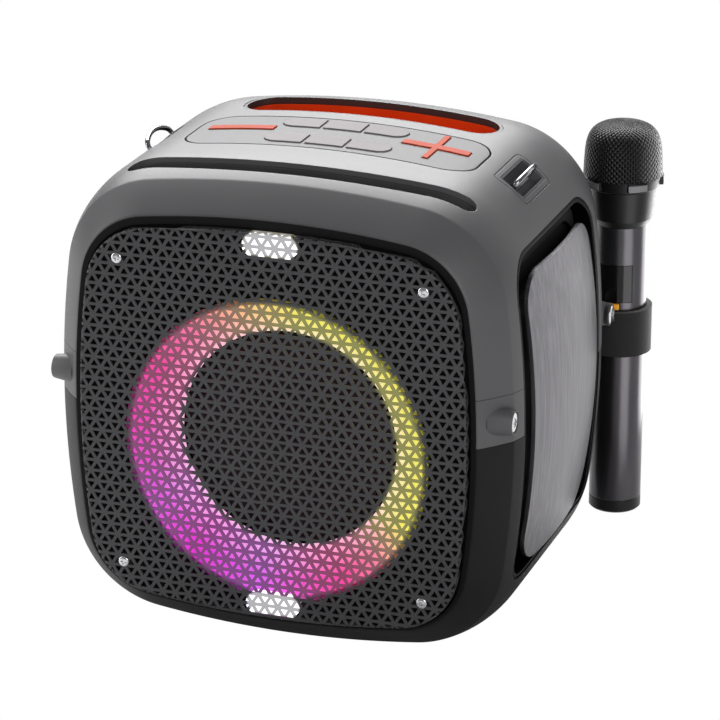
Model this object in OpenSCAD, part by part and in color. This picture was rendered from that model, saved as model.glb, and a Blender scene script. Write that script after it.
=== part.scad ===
// Portable karaoke speaker with a microphone strapped to its rear corner.
// X runs to the right, the grille faces -Y and Z is up. The origin is in the
// middle of the rubber foot's flat face, on the surface that the foot stands on.

/* [Housing outline] */
// Half of the housing's width and of its height, at its widest
half = 131; // [129.5:0.5:132.5]
// Distance of each corner arc's centre from the middle, across and up
corner_k = 66.5; // [66:0.5:67]
// Radius of the corner arcs
corner_r = 60; // [59:0.5:60]
// Height of the housing's middle above the floor
body_z = 133.6; // [133.6:0.2:136]
// Thickness of the moulded walls
wall = 3.2; // [2.4:0.2:3.6]

/* [Housing depth] */
// Half length of the straight part of the walls, front to back
straight_y = 49.4; // [48:0.2:50]
// Radius of the long shoulder arc that leads in to the front and back
shoulder_r = 104.8; // [104:0.2:106]
// Angle through which the shoulder arc turns
shoulder_turn = 24; // [23:0.5:25]
// Radius of the tight arc at the rim
rim_r = 19.4; // [19:0.2:20]
// Angle at which the rim arc ends
rim_turn = 66; // [64:1:68]

/* [Seams and clamps] */
// Height of the seam on top of the lower shell
seam_low = 134; // [132:0.5:136]
// Height of the seam under the upper shell
seam_high = 160; // [158:0.5:162]
// Height of the clamps' side screws
boss_z = 146.6; // [144:0.2:148]
// Distance of the side screws from the middle, front to back
boss_y = 88.3; // [87:0.1:89]
// Radius of the bosses that hold the side screws
boss_r = 6.5; // [6:0.1:7]
// How far from the middle the bosses end
boss_x = 127.8; // [127:0.1:128.4]

/* [Front] */
// Distance from the grille's face to the middle of the housing
face_y = 105.3; // [105:0.1:105.6]
// Height of the grille's middle
grille_z = 132; // [131.6:0.1:132.4]
// Half of the grille's width and height
grille_half = 107.2; // [106.6:0.1:107.4]
// Thickness of the grille's sheet
sheet = 1.2; // [1:0.1:1.4]
// Distance of the grille's screws from its middle, across
grille_screw_x = 83.7; // [82:0.1:84]
// Distance of the grille's screws from its middle, up and down
grille_screw_z = 85.3; // [84:0.1:86]
// Spacing of the coarse triangular lattice, across
lattice = 19.2; // [18:0.4:24]
// Width of the lattice's bars
lattice_bar = 3.6; // [3:0.2:5]
// Width of the two lit windows
window_w = 29.6; // [28:0.2:31]
// Height of the two lit windows
window_h = 11.8; // [10.8:0.2:11.8]
// Distance of the windows from the grille's middle
window_z = 99.6; // [98.4:0.1:99.6]
// Height of the woofer's axis
woofer_z = 117; // [116.5:0.1:117.5]
// Outer radius of the light ring
ring_outer = 81; // [80:0.5:81]
// Inner radius of the light ring
ring_inner = 60; // [59:0.5:61]
// How far the light ring's outer edge lies behind the grille's face
ring_front = 8; // [8:0.1:8.4]
// Depth of the light ring from its outer edge to its inner one
ring_depth = 21; // [20:0.5:21]

/* [Control deck] */
// Width of the control panel
panel_w = 161; // [160:0.5:162]
// Depth of the control panel, front to back
panel_d = 53; // [52.6:0.1:54]
// Radius of the control panel's corners
panel_r = 16; // [14:0.5:17]
// Sideways place of the control panel
panel_x = 2.7; // [2.2:0.1:3]
// Middle of the control panel, front to back
panel_y = -7.4; // [-7.8:0.1:-7.2]
// Sideways place of the keys
deck_x = 2.2; // [2:0.1:2.6]
// Length of each row of keys
row_w = 70.8; // [69:0.2:72]
// Depth of the keys, front to back
key_d = 15.6; // [14:0.2:16]
// Middle of the back row of keys
back_row_y = 8.4; // [8:0.1:8.8]
// Middle of the front row of keys
front_row_y = -20.6; // [-21:0.1:-20]
// Width of the middle key of a row
mid_key_w = 21.6; // [20:0.2:24]
// Gap between neighbouring keys
key_gap = 1.6; // [1.2:0.1:2]
// How far the keys stand up from the panel
key_proud = 0.7; // [0.5:0.1:1]
// Length of the volume bars
bar_len = 37.6; // [36:0.2:38]
// Width of the volume bars, front to back
bar_w = 7.2; // [6:0.2:8]
// Width of the plus mark's upright bar, across
plus_bar_w = 3.8; // [3:0.2:5]
// Length of the plus mark's upright bar
plus_bar_len = 41; // [38:0.5:42]
// Distance of the volume marks from the deck's middle
volume_x = 54.6; // [54:0.2:55]
// Middle of the volume marks, front to back
volume_y = -3.4; // [-3.8:0.1:-3.2]

/* [Tablet slot and handle] */
// Length of the tablet slot
slot_len = 191.6; // [190:0.2:192]
// Sideways place of the tablet slot
slot_x = 2.2; // [1.8:0.1:2.4]
// Width of the tablet slot
slot_w = 12.8; // [12:0.2:13]
// Place of the tablet slot's middle, front to back
slot_y = -68; // [-68.5:0.1:-67.5]
// How far the slot's ends lie behind its middle
slot_bow = 4; // [3.6:0.1:4.4]
// Depth of the tablet slot
slot_depth = 16.5; // [16:0.5:17]
// Length of the handle's pocket
pocket_len = 147.6; // [144:0.2:148]
// Sideways place of the handle's pocket
pocket_x = 3.7; // [3.2:0.1:4.2]
// Width of the handle's pocket, front to back
pocket_w = 31; // [30:0.5:31]
// Middle of the handle's pocket, front to back
pocket_y = 46.7; // [46:0.1:47]
// Depth of the handle's pocket
pocket_depth = 32; // [28:1:34]
// Height of the dark trim at the pocket's mouth
trim_h = 4; // [3:0.2:5]

/* [Strap rings] */
// Direction of the shoulder's normal where the rings sit, above the horizontal
ring_angle = 52.9; // [52:0.1:54]
// Middle of the strap rings, front to back
strap_y = 3.2; // [3:0.1:4]
// Size of the strap ring's recess along the shoulder's slope
recess_w = 17; // [16.6:0.1:17.4]
// Size of the strap ring's recess from front to back
recess_l = 38; // [37.6:0.1:38.4]
// Thickness of the strap ring's wire
wire_d = 2.8; // [2.6:0.1:3]
// Height of the strap ring, centre line to centre line
ring_h = 11.2; // [10.8:0.1:11.4]

/* [Side radiators] */
// How far the side recesses reach forward of the middle
side_front = 73.4; // [73:0.1:75]
// How far the side recesses reach behind the middle
side_back = 61.4; // [61.4:0.1:66]
// Lowest point of the side recesses
side_low = 48.7; // [48:0.1:49]
// Highest point of the side recesses
side_high = 227.6; // [227:0.1:228]
// Width of a radiator's plate, front to back
plate_w = 116.2; // [115:0.2:117]
// Height of a radiator's plate
plate_h = 161.2; // [160:0.2:161.4]
// Radius of the plate's corners
plate_r = 21; // [18:0.5:22]
// Height of the plate's middle
plate_z = 133.2; // [133:0.1:133.6]
// How far from the middle the plate's crown lies
plate_x = 134; // [133:0.1:134.5]
// Radius of the plate's domed face
plate_dome = 404; // [380:1:420]

/* [Microphone] */
// Sideways place of the microphone's axis
mic_x = 126.9; // [126.9:0.1:128]
// Place of the microphone's axis behind the middle
mic_y = 114.7; // [114.7:0.1:116]
// Height of the microphone's lowest face
mic_low = 23; // [22:0.5:26]
// Height of the microphone's top
mic_high = 250; // [247:0.5:250]
// Radius of the microphone's tube
tube_r = 14.7; // [14.5:0.1:14.8]
// Radius of the microphone's head
head_r = 22; // [21.5:0.1:22.2]
// Lowest point of the band that holds the microphone
band_low = 118.5; // [118:0.5:120]
// Highest point of the band that holds the microphone
band_high = 144.5; // [143:0.5:144.5]
// Outer radius of the band
band_r = 18.2; // [17.8:0.1:18.2]

/* [Hidden] */
$fn = 96;

// The side arcs meet the corner arcs without a kink
corner_e = half - corner_k;
side_r = (corner_k * corner_k + corner_e * corner_e - corner_r * corner_r)
    / (2 * (corner_e - corner_r));
side_turn = asin(corner_k / (side_r - corner_r));
// Centre of the rim arc, across from the outline and forward of the middle
rim_x = -shoulder_r + (shoulder_r - rim_r) * cos(shoulder_turn);
rim_y = straight_y + (shoulder_r - rim_r) * sin(shoulder_turn);
// The rim itself
rim_inset = -rim_x - rim_r * cos(rim_turn);
rim_depth = rim_y + rim_r * sin(rim_turn);
wall_inset = -rim_x - (rim_r - wall) * cos(rim_turn);
far = 200;
// Clearance between pieces that are only pushed together
fit = 0.2;
// Clearance between a seam's two edges
seam = 0.15;
// Angle by which a side's swept wall stops short of the corners'; ribs join them
hairline = 0.002;
// Depths behind the grille's face at which the front's pieces lie
baffle_front = 10;
baffle_back = 14;
frame_front = 4.6;
flange_back = 9;
window_front = 1.5;
window_back = 6.5;
// The baffle carries the woofer on a ring
basket_r = 76;
basket_z = 70;
seat_r = 72.6;
cone_edge = 54;
roll_r = 4;
coil_r = 13.9;
magnet_r = 42;
magnet_low = 10;
magnet_high = 33;
// Levels inside the deck
key_travel = 0.6;
panel_depth = 4.6;
board_z = 246;
board_t = 1.6;
plunger_top = 252;
// Levels of the side radiators
ledge_x = 108;
ledge_t = 3;
surround_t = 2.2;
hub_w = plate_w - 22;
hub_h = plate_h - 26;
plate_t = 2.4;
// Rear panel
rear_out = 100.2;
rear_t = 3;
// Microphone levels
cap_h = 7.2;
collar_low = 192.7;
collar_high = 220.6;
tube_wall = 1.6;
button_z = 147.2;
display_low = 149.6;
display_high = 171;
display_turn = 43;

// ---- shared shapes -------------------------------------------------------

// Rectangle with round corners
module rounded(w, h, r) {
    square([w - 2 * r, h], center = true);
    square([w, h - 2 * r], center = true);
    for (x = [-1, 1], y = [-1, 1])
        translate([x * (w / 2 - r), y * (h / 2 - r)]) circle(r);
}

// The housing's outline of four side arcs and four corner arcs, seen from the
// front and drawn in by inset
module outline(inset) {
    difference() {
        intersection_for(turn = [0:90:270])
            rotate(turn) translate([half - side_r, 0]) circle(side_r - inset, $fn = 360);
        for (turn = [0:90:270]) rotate(turn) translate([corner_k, corner_k])
            difference() {
                polygon([[0, 0], far * [cos(side_turn), sin(side_turn)],
                    [far, far], far * [sin(side_turn), cos(side_turn)]]);
                circle(corner_r - inset, $fn = 180);
            }
    }
}

// Turns a shape drawn across the front, with its depth along Z towards the
// viewer, to its place in the housing
module upright(z = body_z) {
    translate([0, 0, z]) rotate([90, 0, 0]) children();
}

// A block of the housing's outline between two depths behind the middle
module slab(inset, y0, y1) {
    upright() translate([0, 0, -y1]) linear_extrude(y1 - y0) outline(inset);
}

// A layer of the housing's straight walls, between two depths under the skin
module skin(d0, d1, y0, y1) {
    difference() {
        slab(d0, y0, y1);
        slab(d1, y0 - 1, y1 + 1);
    }
}

// One curved stretch of the wall's section
module arc_band(x, y, r, t, a0, a1) {
    am = (a0 + a1) / 2;
    translate([x, y]) intersection() {
        difference() {
            circle(r, $fn = 180);
            circle(r - t, $fn = 180);
        }
        polygon([[0, 0], 2 * r * [cos(a0), sin(a0)],
            3 * r * [cos(am), sin(am)], 2 * r * [cos(a1), sin(a1)]]);
    }
}

// The wall's section: X is 0 on the outline, Y is the depth from the middle
module wall_section(t) {
    translate([-t, -straight_y]) square([t, 2 * straight_y]);
    for (m = [0, 1]) mirror([0, m]) {
        arc_band(-shoulder_r, straight_y, shoulder_r, t, 0, shoulder_turn);
        arc_band(rim_x, rim_y, rim_r, t, shoulder_turn, rim_turn);
    }
}

// Carries a section round part of the outline. Sides and corners are numbered
// from +X, anticlockwise from the front.
module round_side(i, short = 0) {
    rotate(90 * i) translate([half - side_r, 0]) rotate(short - side_turn)
        rotate_extrude(angle = 2 * (side_turn - short), $fn = 360)
            translate([side_r, 0]) children();
}

module round_corner(i) {
    rotate(90 * i) translate([corner_k, corner_k]) rotate(side_turn)
        rotate_extrude(angle = 90 - 2 * side_turn, $fn = 180)
            translate([corner_r, 0]) children();
}

// The whole moulded wall of the housing
module housing_wall() {
    upright() for (i = [0:3]) {
        round_side(i, hairline) wall_section(wall);
        round_corner(i) wall_section(wall);
    }
}

// Ribs inside the wall at both ends of a corner
module corner_ribs(i, y0, y1) {
    upright() rotate(90 * i) translate([corner_k, corner_k])
        for (turn = [side_turn, 90 - side_turn]) rotate(turn) {
            rib(wall + 2, wall - 0.8, y0, y1);
            rib(wall + 2, wall - 0.8, -46, -41);
            for (y = [-85, 79]) rib(12, 7, y, y + 6);
        }
}

module rib(d1, d0, y0, y1) {
    translate([corner_r - d1, -2.5, -y1]) cube([d1 - d0, 5, y1 - y0]);
}

// Outline of the side recess as seen from the side, drawn in by inset
module side_outline(inset) {
    y0 = inset - side_front;
    w = side_back - inset - y0;
    h = side_high - side_low - 2 * inset;
    r_top = 22 - inset / 2;
    r_low = 11 - inset / 2;
    translate([y0, side_low + inset]) {
        translate([r_top, r_low]) square([w - 2 * r_top, h - r_low]);
        translate([0, r_low]) square([w, h - r_low - r_top]);
        translate([r_low, 0]) square([w - 2 * r_low, 2 * r_low]);
        for (y = [r_top, w - r_top]) translate([y, h - r_top]) circle(r_top);
        for (y = [r_low, w - r_low]) translate([y, r_low]) circle(r_low);
    }
}

// A shape drawn from the side, Y across and Z up, made solid between two
// distances from the middle on the right (side = 1) or left (side = -1)
module sideways(x0, x1, side = 1) {
    mirror([side > 0 ? 0 : 1, 0, 0])
        multmatrix([[0, 0, 1, x0], [1, 0, 0, 0], [0, 1, 0, 0], [0, 0, 0, 1]])
            linear_extrude(x1 - x0) children();
}

// A shape drawn from above, made solid between two heights
module flat(z0, z1) {
    translate([0, 0, z0]) linear_extrude(z1 - z0) children();
}

// Both side recesses
module side_cuts() {
    for (s = [-1, 1]) sideways(60, 160, s) side_outline(0);
}

// ---- housing ------------------------------------------------------------

module upper_shell() {
    color("dimgray") difference() {
        intersection() {
            union() {
                housing_wall();
                for (i = [0, 1]) corner_ribs(i, 24, 46);
            }
            translate([-far, -far, seam_high + seam]) cube([2 * far, 2 * far, far]);
        }
        side_cuts();
        flat(board_z, 290) panel_outline(-fit);
        flat(board_z, 290) slot_outline(slot_w / 2);
        flat(220, 290) pocket_outline(0);
        for (s = [0, 1]) mirror([s, 0, 0]) at_shoulder()
            translate([0, 0, corner_r]) cube([recess_w, recess_l, 30], center = true);
    }
}

module lower_shell() {
    color("#1b1b1c") difference() {
        intersection() {
            union() {
                housing_wall();
                for (i = [2, 3]) corner_ribs(i, -46, 46);
            }
            translate([-far, -far, -1]) cube([2 * far, 2 * far, seam_low - seam + 1]);
        }
        side_cuts();
    }
}

// Four clamps bridge the shells' seams, one at each upright edge
module corner_clamps() {
    color("dimgray") for (s = [0, 1], m = [0, 1]) mirror([s, 0, 0]) mirror([0, m, 0]) {
        with_band = s == 0 && m == 1;
        edge = m == 0 ? side_front : side_back;
        boss_end = with_band ? boss_x - 1.2 : boss_x;
        difference() {
            union() {
                intersection() {
                    upright() round_side(0) wall_section(wall);
                    translate([90, -far, seam_low])
                        cube([60, far - edge - fit, seam_high - seam_low]);
                }
                along_x(boss_r, 116, boss_end, 12);
            }
            along_x(2.1, 100, 140);
            if (!with_band) along_x(5.7, boss_x - 1.3, 140);
        }
    }
}

// A cylinder across the housing on the side screws' axis
module along_x(r, x0, x1, sides = 96) {
    translate([x0, -boss_y, boss_z]) rotate([0, 90, 0]) rotate(15)
        cylinder(r = r, h = x1 - x0, $fn = sides);
}

module clamp_screws() {
    color("gainsboro") for (s = [0, 1], m = [0, 1]) mirror([s, 0, 0]) mirror([0, m, 0]) {
        head = s == 0 && m == 1 ? boss_x + 1.3 : boss_x - 1.2;
        along_x(5.4, head, head + 1.3);
        along_x(2, 118, head + 0.5);
    }
}

module base_foot() {
    color("#202020") difference() {
        flat(0, 9) rounded(132, 100, 22);
        slab(0, -80, 80);
        for (x = [-42, -21, 21, 42]) translate([x, 0, 0]) cube([9, 64, 1.6], center = true);
    }
}

// ---- front ----------------------------------------------------------------

// Front pieces are drawn at a depth behind the grille's face
module behind_face(z, d0, d1) {
    translate([0, d1 - face_y, z]) rotate([90, 0, 0]) linear_extrude(d1 - d0) children();
}

module front_frame() {
    color("#242424") difference() {
        behind_face(body_z, frame_front, baffle_front) outline(wall_inset + fit);
        behind_face(grille_z, frame_front - 1, baffle_front + 1) grille_outline(-0.8);
    }
}

module baffle() {
    hole_r = ring_outer + 1.6;
    color("#111111") difference() {
        union() {
            behind_face(body_z, baffle_front, baffle_back) outline(wall_inset - 4.6);
            at_woofer() translate([0, 0, basket_z])
                cylinder(r = hole_r + 3, h = face_y - baffle_back - basket_z);
            for (x = [-1, 1], z = [-1, 1])
                translate([x * grille_screw_x, 0, z * grille_screw_z])
                    behind_face(grille_z, sheet, baffle_front) circle(5);
            behind_face(grille_z + window_z, window_back, baffle_front)
                square([window_w, 8], center = true);
            behind_face(grille_z - window_z - 2.9, window_back, baffle_front)
                square([window_w - 8, 6], center = true);
        }
        at_woofer() {
            translate([0, 0, basket_z + 3]) cylinder(r = hole_r, h = 60);
            cylinder(r = seat_r - 10, h = 100);
            woofer_holes(2.2);
        }
        for (x = [-1, 1], z = [-1, 1])
            translate([x * grille_screw_x, 0, z * grille_screw_z])
                behind_face(grille_z, -1, baffle_back + 1) circle(1.5);
    }
}

// The outline of the grille, drawn in by inset
module grille_outline(inset) {
    outline(half - grille_half + inset);
}

// Bars of the triangular lattice in one of its three directions
module lattice_bars(turn) {
    row = lattice * sin(60);
    rotate(turn) for (i = [-9:9]) translate([0, i * row])
        square([2 * far, lattice_bar], center = true);
}

module grille() {
    color("#3c3c3e") {
        behind_face(grille_z, 0, sheet) difference() {
            union() {
                difference() {
                    grille_outline(0);
                    grille_outline(5);
                }
                intersection() {
                    grille_outline(4);
                    union() {
                        for (turn = [0, 60, 120]) lattice_bars(turn);
                        for (x = [-1, 1], y = [-1, 1])
                            translate([x * grille_screw_x, y * grille_screw_z]) circle(5);
                    }
                }
            }
            for (x = [-1, 1], y = [-1, 1])
                translate([x * grille_screw_x, y * grille_screw_z]) circle(1.8);
        }
        behind_face(grille_z, sheet, flange_back) difference() {
            grille_outline(0);
            grille_outline(sheet);
        }
    }
}

module grille_screws() {
    color("gainsboro") for (x = [-1, 1], z = [-1, 1])
        translate([x * grille_screw_x, 0, z * grille_screw_z]) {
            behind_face(grille_z, -1.2, 0) circle(2.9);
            behind_face(grille_z, -0.5, baffle_back) circle(1.4);
        }
}

module light_windows() {
    color("white") for (z = [-1, 1])
        behind_face(grille_z + z * window_z, window_front, window_back)
            rounded(window_w, window_h, window_h / 2 - 0.01);
}

// ---- woofer and light ring ----------------------------------------------

// Round pieces on the woofer's axis, Z being the distance before the middle
module at_woofer() {
    upright(woofer_z) children();
}

module light_ring() {
    front = face_y - ring_front;
    back = front - ring_depth;
    t = 2.6;
    color("#f2b6e6") at_woofer() rotate_extrude($fn = 180) polygon([
        [ring_inner, back], [ring_outer, front], [ring_outer + 3, front],
        [ring_outer + 3, front - 2], [ring_outer + 1.4, front - 2],
        [ring_inner + 2, back - t / 2], [ring_inner, back - t / 2]
    ]);
}

module light_board() {
    front = basket_z + 7;
    color("darkgreen") at_woofer() {
        difference() {
            translate([0, 0, front]) cylinder(r = ring_outer + 1, h = 1.6);
            translate([0, 0, front - 1]) cylinder(r = 68, h = 4);
        }
        for (turn = [0:15:345]) rotate(turn) translate([75, 0, front + 1.8])
            cube([5, 5, 1], center = true);
    }
}

module woofer_basket() {
    foot = 36;
    color("#303032") at_woofer() {
        difference() {
            rotate_extrude() polygon([
                [cone_edge + 2 * roll_r, basket_z - 3.4], [basket_r, basket_z - 3.4],
                [basket_r, basket_z], [cone_edge + 2 * roll_r, basket_z]
            ]);
            woofer_holes(2.2);
        }
        difference() {
            rotate_extrude() polygon([
                [18, magnet_high], [34, magnet_high], [64.5, basket_z - 3.4],
                [62, basket_z - 3.4], [33, foot], [18, foot]
            ]);
            for (turn = [0:60:300]) rotate(turn) translate([46, 0, 50])
                cube([40, 22, 18], center = true);
        }
    }
}

module woofer_holes(r) {
    for (turn = [30:60:330]) rotate(turn) translate([69, 0, 0]) cylinder(r = r, h = 100);
}

module woofer_screws() {
    color("silver") at_woofer() for (turn = [30:60:330])
        rotate(turn) translate([69, 0, basket_z - 3.4]) {
            translate([0, 0, -2]) cylinder(r = 3.6, h = 2);
            cylinder(r = 2, h = 6);
        }
}

module woofer_magnet() {
    gap_w = 1.6;
    color("#3a3a3a") at_woofer() difference() {
        union() {
            translate([0, 0, magnet_low]) cylinder(r = 38, h = 4);
            translate([0, 0, magnet_low + 4]) cylinder(r = magnet_r, h = 15);
            translate([0, 0, magnet_low + 19]) cylinder(r = 38, h = magnet_high - magnet_low - 19);
        }
        translate([0, 0, magnet_low + 5]) difference() {
            cylinder(r = coil_r + gap_w, h = 30);
            cylinder(r = coil_r - gap_w, h = 30);
        }
    }
}

module voice_coil() {
    color("peru") at_woofer() translate([0, 0, 22]) difference() {
        cylinder(r = coil_r + 0.5, h = 23);
        translate([0, 0, -1]) cylinder(r = coil_r - 0.5, h = 25);
    }
}

module woofer_cone() {
    color("#2b2b2e") at_woofer() rotate_extrude() polygon([
        [coil_r + 0.5, 43.4], [cone_edge, 66.4], [cone_edge, 67.6], [coil_r + 0.5, 44.8]
    ]);
}

module dust_cap() {
    cap_r = 19;
    dome = 30;
    base = 47.5;
    color("#232326") at_woofer() intersection() {
        translate([0, 0, base - sqrt(dome * dome - cap_r * cap_r)]) difference() {
            sphere(dome);
            sphere(dome - 1);
        }
        translate([0, 0, base]) cylinder(r = cap_r, h = 20);
    }
}

module woofer_surround() {
    color("#151515") at_woofer() rotate_extrude()
        translate([cone_edge + roll_r, basket_z - 3]) intersection() {
            difference() {
                circle(roll_r);
                circle(roll_r - 1);
            }
            translate([0.3 - roll_r, 0]) square([2 * roll_r, roll_r]);
        }
}

module spider() {
    color("goldenrod") at_woofer() translate([0, 0, 39]) difference() {
        cylinder(r = 35.8, h = 0.8);
        translate([0, 0, -1]) cylinder(r = coil_r + 0.8, h = 3);
    }
}

// ---- control deck ---------------------------------------------------------

module panel_outline(inset) {
    translate([panel_x, panel_y])
        rounded(panel_w - 2 * inset, panel_d - 2 * inset, panel_r - inset);
}

// One key of a row: place -1, 0 or 1, drawn in by inset
module key_outline(place, inset) {
    end_w = (row_w - mid_key_w) / 2 - key_gap;
    if (place == 0) {
        square([mid_key_w - 2 * inset, key_d - 2 * inset], center = true);
    } else {
        near = mid_key_w / 2 + key_gap + inset;
        r = key_d / 2 - inset;
        mirror([place < 0 ? 1 : 0, 0]) {
            translate([near, -r]) square([end_w - key_d / 2 - inset, 2 * r]);
            translate([near - inset + end_w - key_d / 2, 0]) circle(r);
        }
    }
}

module minus_outline(inset) {
    square([bar_len - 2 * inset, bar_w - 2 * inset], center = true);
}

module plus_outline(inset) {
    minus_outline(inset);
    square([plus_bar_w - 2 * inset, plus_bar_len - 2 * inset], center = true);
}

// Places its children at each key's place in turn
module at_row(row_y) {
    translate([deck_x, row_y]) children();
}

module control_panel() {
    low = half - panel_depth;
    color("gainsboro") difference() {
        union() {
            intersection() {
                flat(200, 290) panel_outline(0);
                skin(0, wall, -48, 48);
            }
            intersection() {
                flat(200, 290) panel_outline(-3);
                skin(wall, panel_depth, -48, 48);
            }
            for (x = [-74, 74], y = [-18, 18])
                translate([panel_x + x, panel_y + y, board_z + board_t]) cylinder(r = 3,
                    h = body_z + low + 1 - drop(panel_x + x) - board_z - board_t);
        }
        flat(board_z + 4, 290) {
            for (y = [back_row_y, front_row_y], p = [-1:1]) at_row(y) key_outline(p, 0);
            at_row(volume_y) translate([-volume_x, 0]) minus_outline(0);
            at_row(volume_y) translate([volume_x, 0]) plus_outline(0);
        }
    }
}

// A key: its cap shows through the panel, a rim keeps it from falling out and
// a stem reaches down to its switch
module key(row_y, x, tint) {
    gap = 0.35;
    color(tint) {
        intersection() {
            flat(200, 290) translate([deck_x, row_y]) key_shape(x, gap);
            skin(-key_proud, panel_depth + 0.3, -48, 48);
        }
        intersection() {
            flat(200, 290) translate([deck_x, row_y]) key_shape(x, -0.6);
            skin(panel_depth + 0.3, panel_depth + 1.3, -48, 48);
        }
        translate([deck_x + stem_x(x), row_y, plunger_top + key_travel + 0.3])
            cylinder(r = 1.8, h = body_z + half - panel_depth - 0.6 - plunger_top
                - key_travel - 0.3 - drop(deck_x + stem_x(x)));
    }
}

// How far the top skin falls away towards the sides
function drop(x) = side_r - sqrt(side_r * side_r - x * x);

// Keys are known by number: -1 to 1 along a row, -2 for minus and 2 for plus
function stem_x(x) = abs(x) == 2 ? sign(x) * volume_x : x * (mid_key_w / 2 + key_gap + 11);

module key_shape(x, inset) {
    if (x == -2) {
        translate([-volume_x, 0]) minus_outline(inset);
    } else if (x == 2) {
        translate([volume_x, 0]) plus_outline(inset);
    } else {
        key_outline(x, inset);
    }
}

module volume_down_key() { key(volume_y, -2, "#b5452f"); }
module volume_up_key() { key(volume_y, 2, "#b5452f"); }
module power_key() { key(back_row_y, -1, "silver"); }
module pairing_key() { key(back_row_y, 0, "silver"); }
module light_key() { key(back_row_y, 1, "silver"); }
module play_key() { key(front_row_y, -1, "silver"); }
module sound_key() { key(front_row_y, 0, "silver"); }
module effect_key() { key(front_row_y, 1, "silver"); }

module key_board() {
    color("darkgreen") flat(board_z, board_z + board_t)
        translate([panel_x, panel_y]) rounded(panel_w - 2, panel_d - 2, 8);
}

module key_switches() {
    color("#2a2a2a") for (spot = [
            [-1, back_row_y], [0, back_row_y], [1, back_row_y],
            [-1, front_row_y], [0, front_row_y], [1, front_row_y],
            [-2, volume_y], [2, volume_y]
        ]) translate([deck_x + stem_x(spot[0]), spot[1], board_z + board_t]) {
            translate([-3, -3, 0]) cube([6, 6, 3.2]);
            cylinder(r = 1.7, h = plunger_top - board_z - board_t);
        }
}

// ---- tablet slot and handle -----------------------------------------------

// The tablet slot from above: a long arc with round ends
module slot_outline(r) {
    run = slot_len / 2 - slot_w / 2;
    bend = (run * run + slot_bow * slot_bow) / (2 * slot_bow);
    turn = asin(run / bend);
    translate([slot_x, slot_y + bend]) {
        intersection() {
            difference() {
                circle(bend + r, $fn = 360);
                circle(bend - r, $fn = 360);
            }
            polygon([[0, 0], 2 * bend * [-sin(turn), -cos(turn)],
                2 * bend * [sin(turn), -cos(turn)]]);
        }
        for (s = [-1, 1]) translate(bend * [s * sin(turn), -cos(turn)]) circle(r);
    }
}

module tablet_slot() {
    top = body_z + half;
    color("#3a3a3a") difference() {
        intersection() {
            flat(top - slot_depth - 3, top) slot_outline(slot_w / 2 - fit);
            slab(wall + 0.1, -90, -50);
        }
        flat(top - slot_depth, top + 5) slot_outline(slot_w / 2 - 1.6);
    }
}

module pocket_outline(inset) {
    translate([pocket_x, pocket_y])
        rounded(pocket_len - 2 * inset, pocket_w - 2 * inset, pocket_w / 2 - inset - 0.01);
}

module handle_trim() {
    color("#2e2e2e") intersection() {
        difference() {
            flat(220, 290) pocket_outline(fit);
            flat(210, 300) pocket_outline(2);
        }
        skin(0.3, trim_h, 0, 90);
    }
}

module handle_liner() {
    color("#a3260e") difference() {
        intersection() {
            flat(body_z + half - pocket_depth, 290) pocket_outline(fit);
            slab(trim_h + 0.1, 0, 90);
        }
        flat(body_z + half - pocket_depth + 2.4, 300) pocket_outline(2.2);
    }
}

// ---- strap rings ------------------------------------------------------------

// The right shoulder's frame: Z points out of the shoulder, its surface is at
// corner_r, and Y runs from front to back
module at_shoulder() {
    translate([corner_k, strap_y, body_z + corner_k]) rotate([0, 90 - ring_angle, 0])
        children();
}

pin_z = corner_r - 4.2;
lug_l = 18;
lug_t = 4.6;
lug_r = 3;
recess_floor = pin_z - wire_d / 2 - 0.6;

// A rectangular pan with a round-ended lug that the loop's pin runs through
module strap_mount() {
    floor_z = corner_r - 9;
    rim_z = corner_r - 0.6;
    color("#29292b") at_shoulder() difference() {
        union() {
            difference() {
                translate([0, 0, (floor_z + rim_z) / 2])
                    cube([recess_w - 2 * fit, recess_l - 2 * fit, rim_z - floor_z],
                        center = true);
                translate([0, 0, recess_floor + 6])
                    cube([recess_w - 2.8, recess_l - 2.8, 12], center = true);
            }
            translate([-lug_t / 2, -lug_l / 2, floor_z])
                cube([lug_t, lug_l, pin_z - floor_z]);
            translate([-lug_t / 2, lug_r - lug_l / 2, floor_z])
                cube([lug_t, lug_l - 2 * lug_r, pin_z + lug_r - floor_z]);
            for (y = [-1, 1]) translate([-lug_t / 2, y * (lug_l / 2 - lug_r), pin_z])
                rotate([0, 90, 0]) cylinder(r = lug_r, h = lug_t);
        }
        translate([0, lug_l, pin_z]) rotate([90, 0, 0])
            cylinder(r = wire_d / 2 + 0.05, h = 2 * lug_l);
    }
}

module strap_mount_right() { strap_mount(); }
module strap_mount_left() { mirror([1, 0, 0]) strap_mount(); }

// A closed wire loop: its straight pin runs through the lug and its ends bend
// up into a low bow
module strap_ring() {
    pin_end = 11.6;
    bend = 4.2;
    rise = ring_h - bend;
    bow = (pin_end * pin_end + rise * rise - bend * bend) / (2 * (ring_h - 2 * bend));
    turn = atan((bow - rise) / pin_end);
    color("gainsboro") at_shoulder() {
        translate([0, pin_end, pin_z]) rotate([90, 0, 0])
            cylinder(r = wire_d / 2, h = 2 * pin_end);
        for (m = [0, 1]) mirror([0, m, 0]) translate([0, pin_end, pin_z + bend]) {
            rotate([0, 90, 0]) rotate_extrude(angle = 90 + turn)
                translate([bend, 0]) circle(wire_d / 2, $fn = 32);
            translate([0, bend * cos(turn), bend * sin(turn)]) sphere(wire_d / 2 + 0.05);
        }
        translate([0, 0, pin_z + ring_h - bow]) rotate([0, 90, 0]) rotate(90 + turn)
            rotate_extrude(angle = 180 - 2 * turn) translate([bow, 0])
                circle(wire_d / 2, $fn = 32);
    }
}

module strap_ring_right() { strap_ring(); }
module strap_ring_left() { mirror([1, 0, 0]) strap_ring(); }

// ---- side radiators ---------------------------------------------------------

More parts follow.
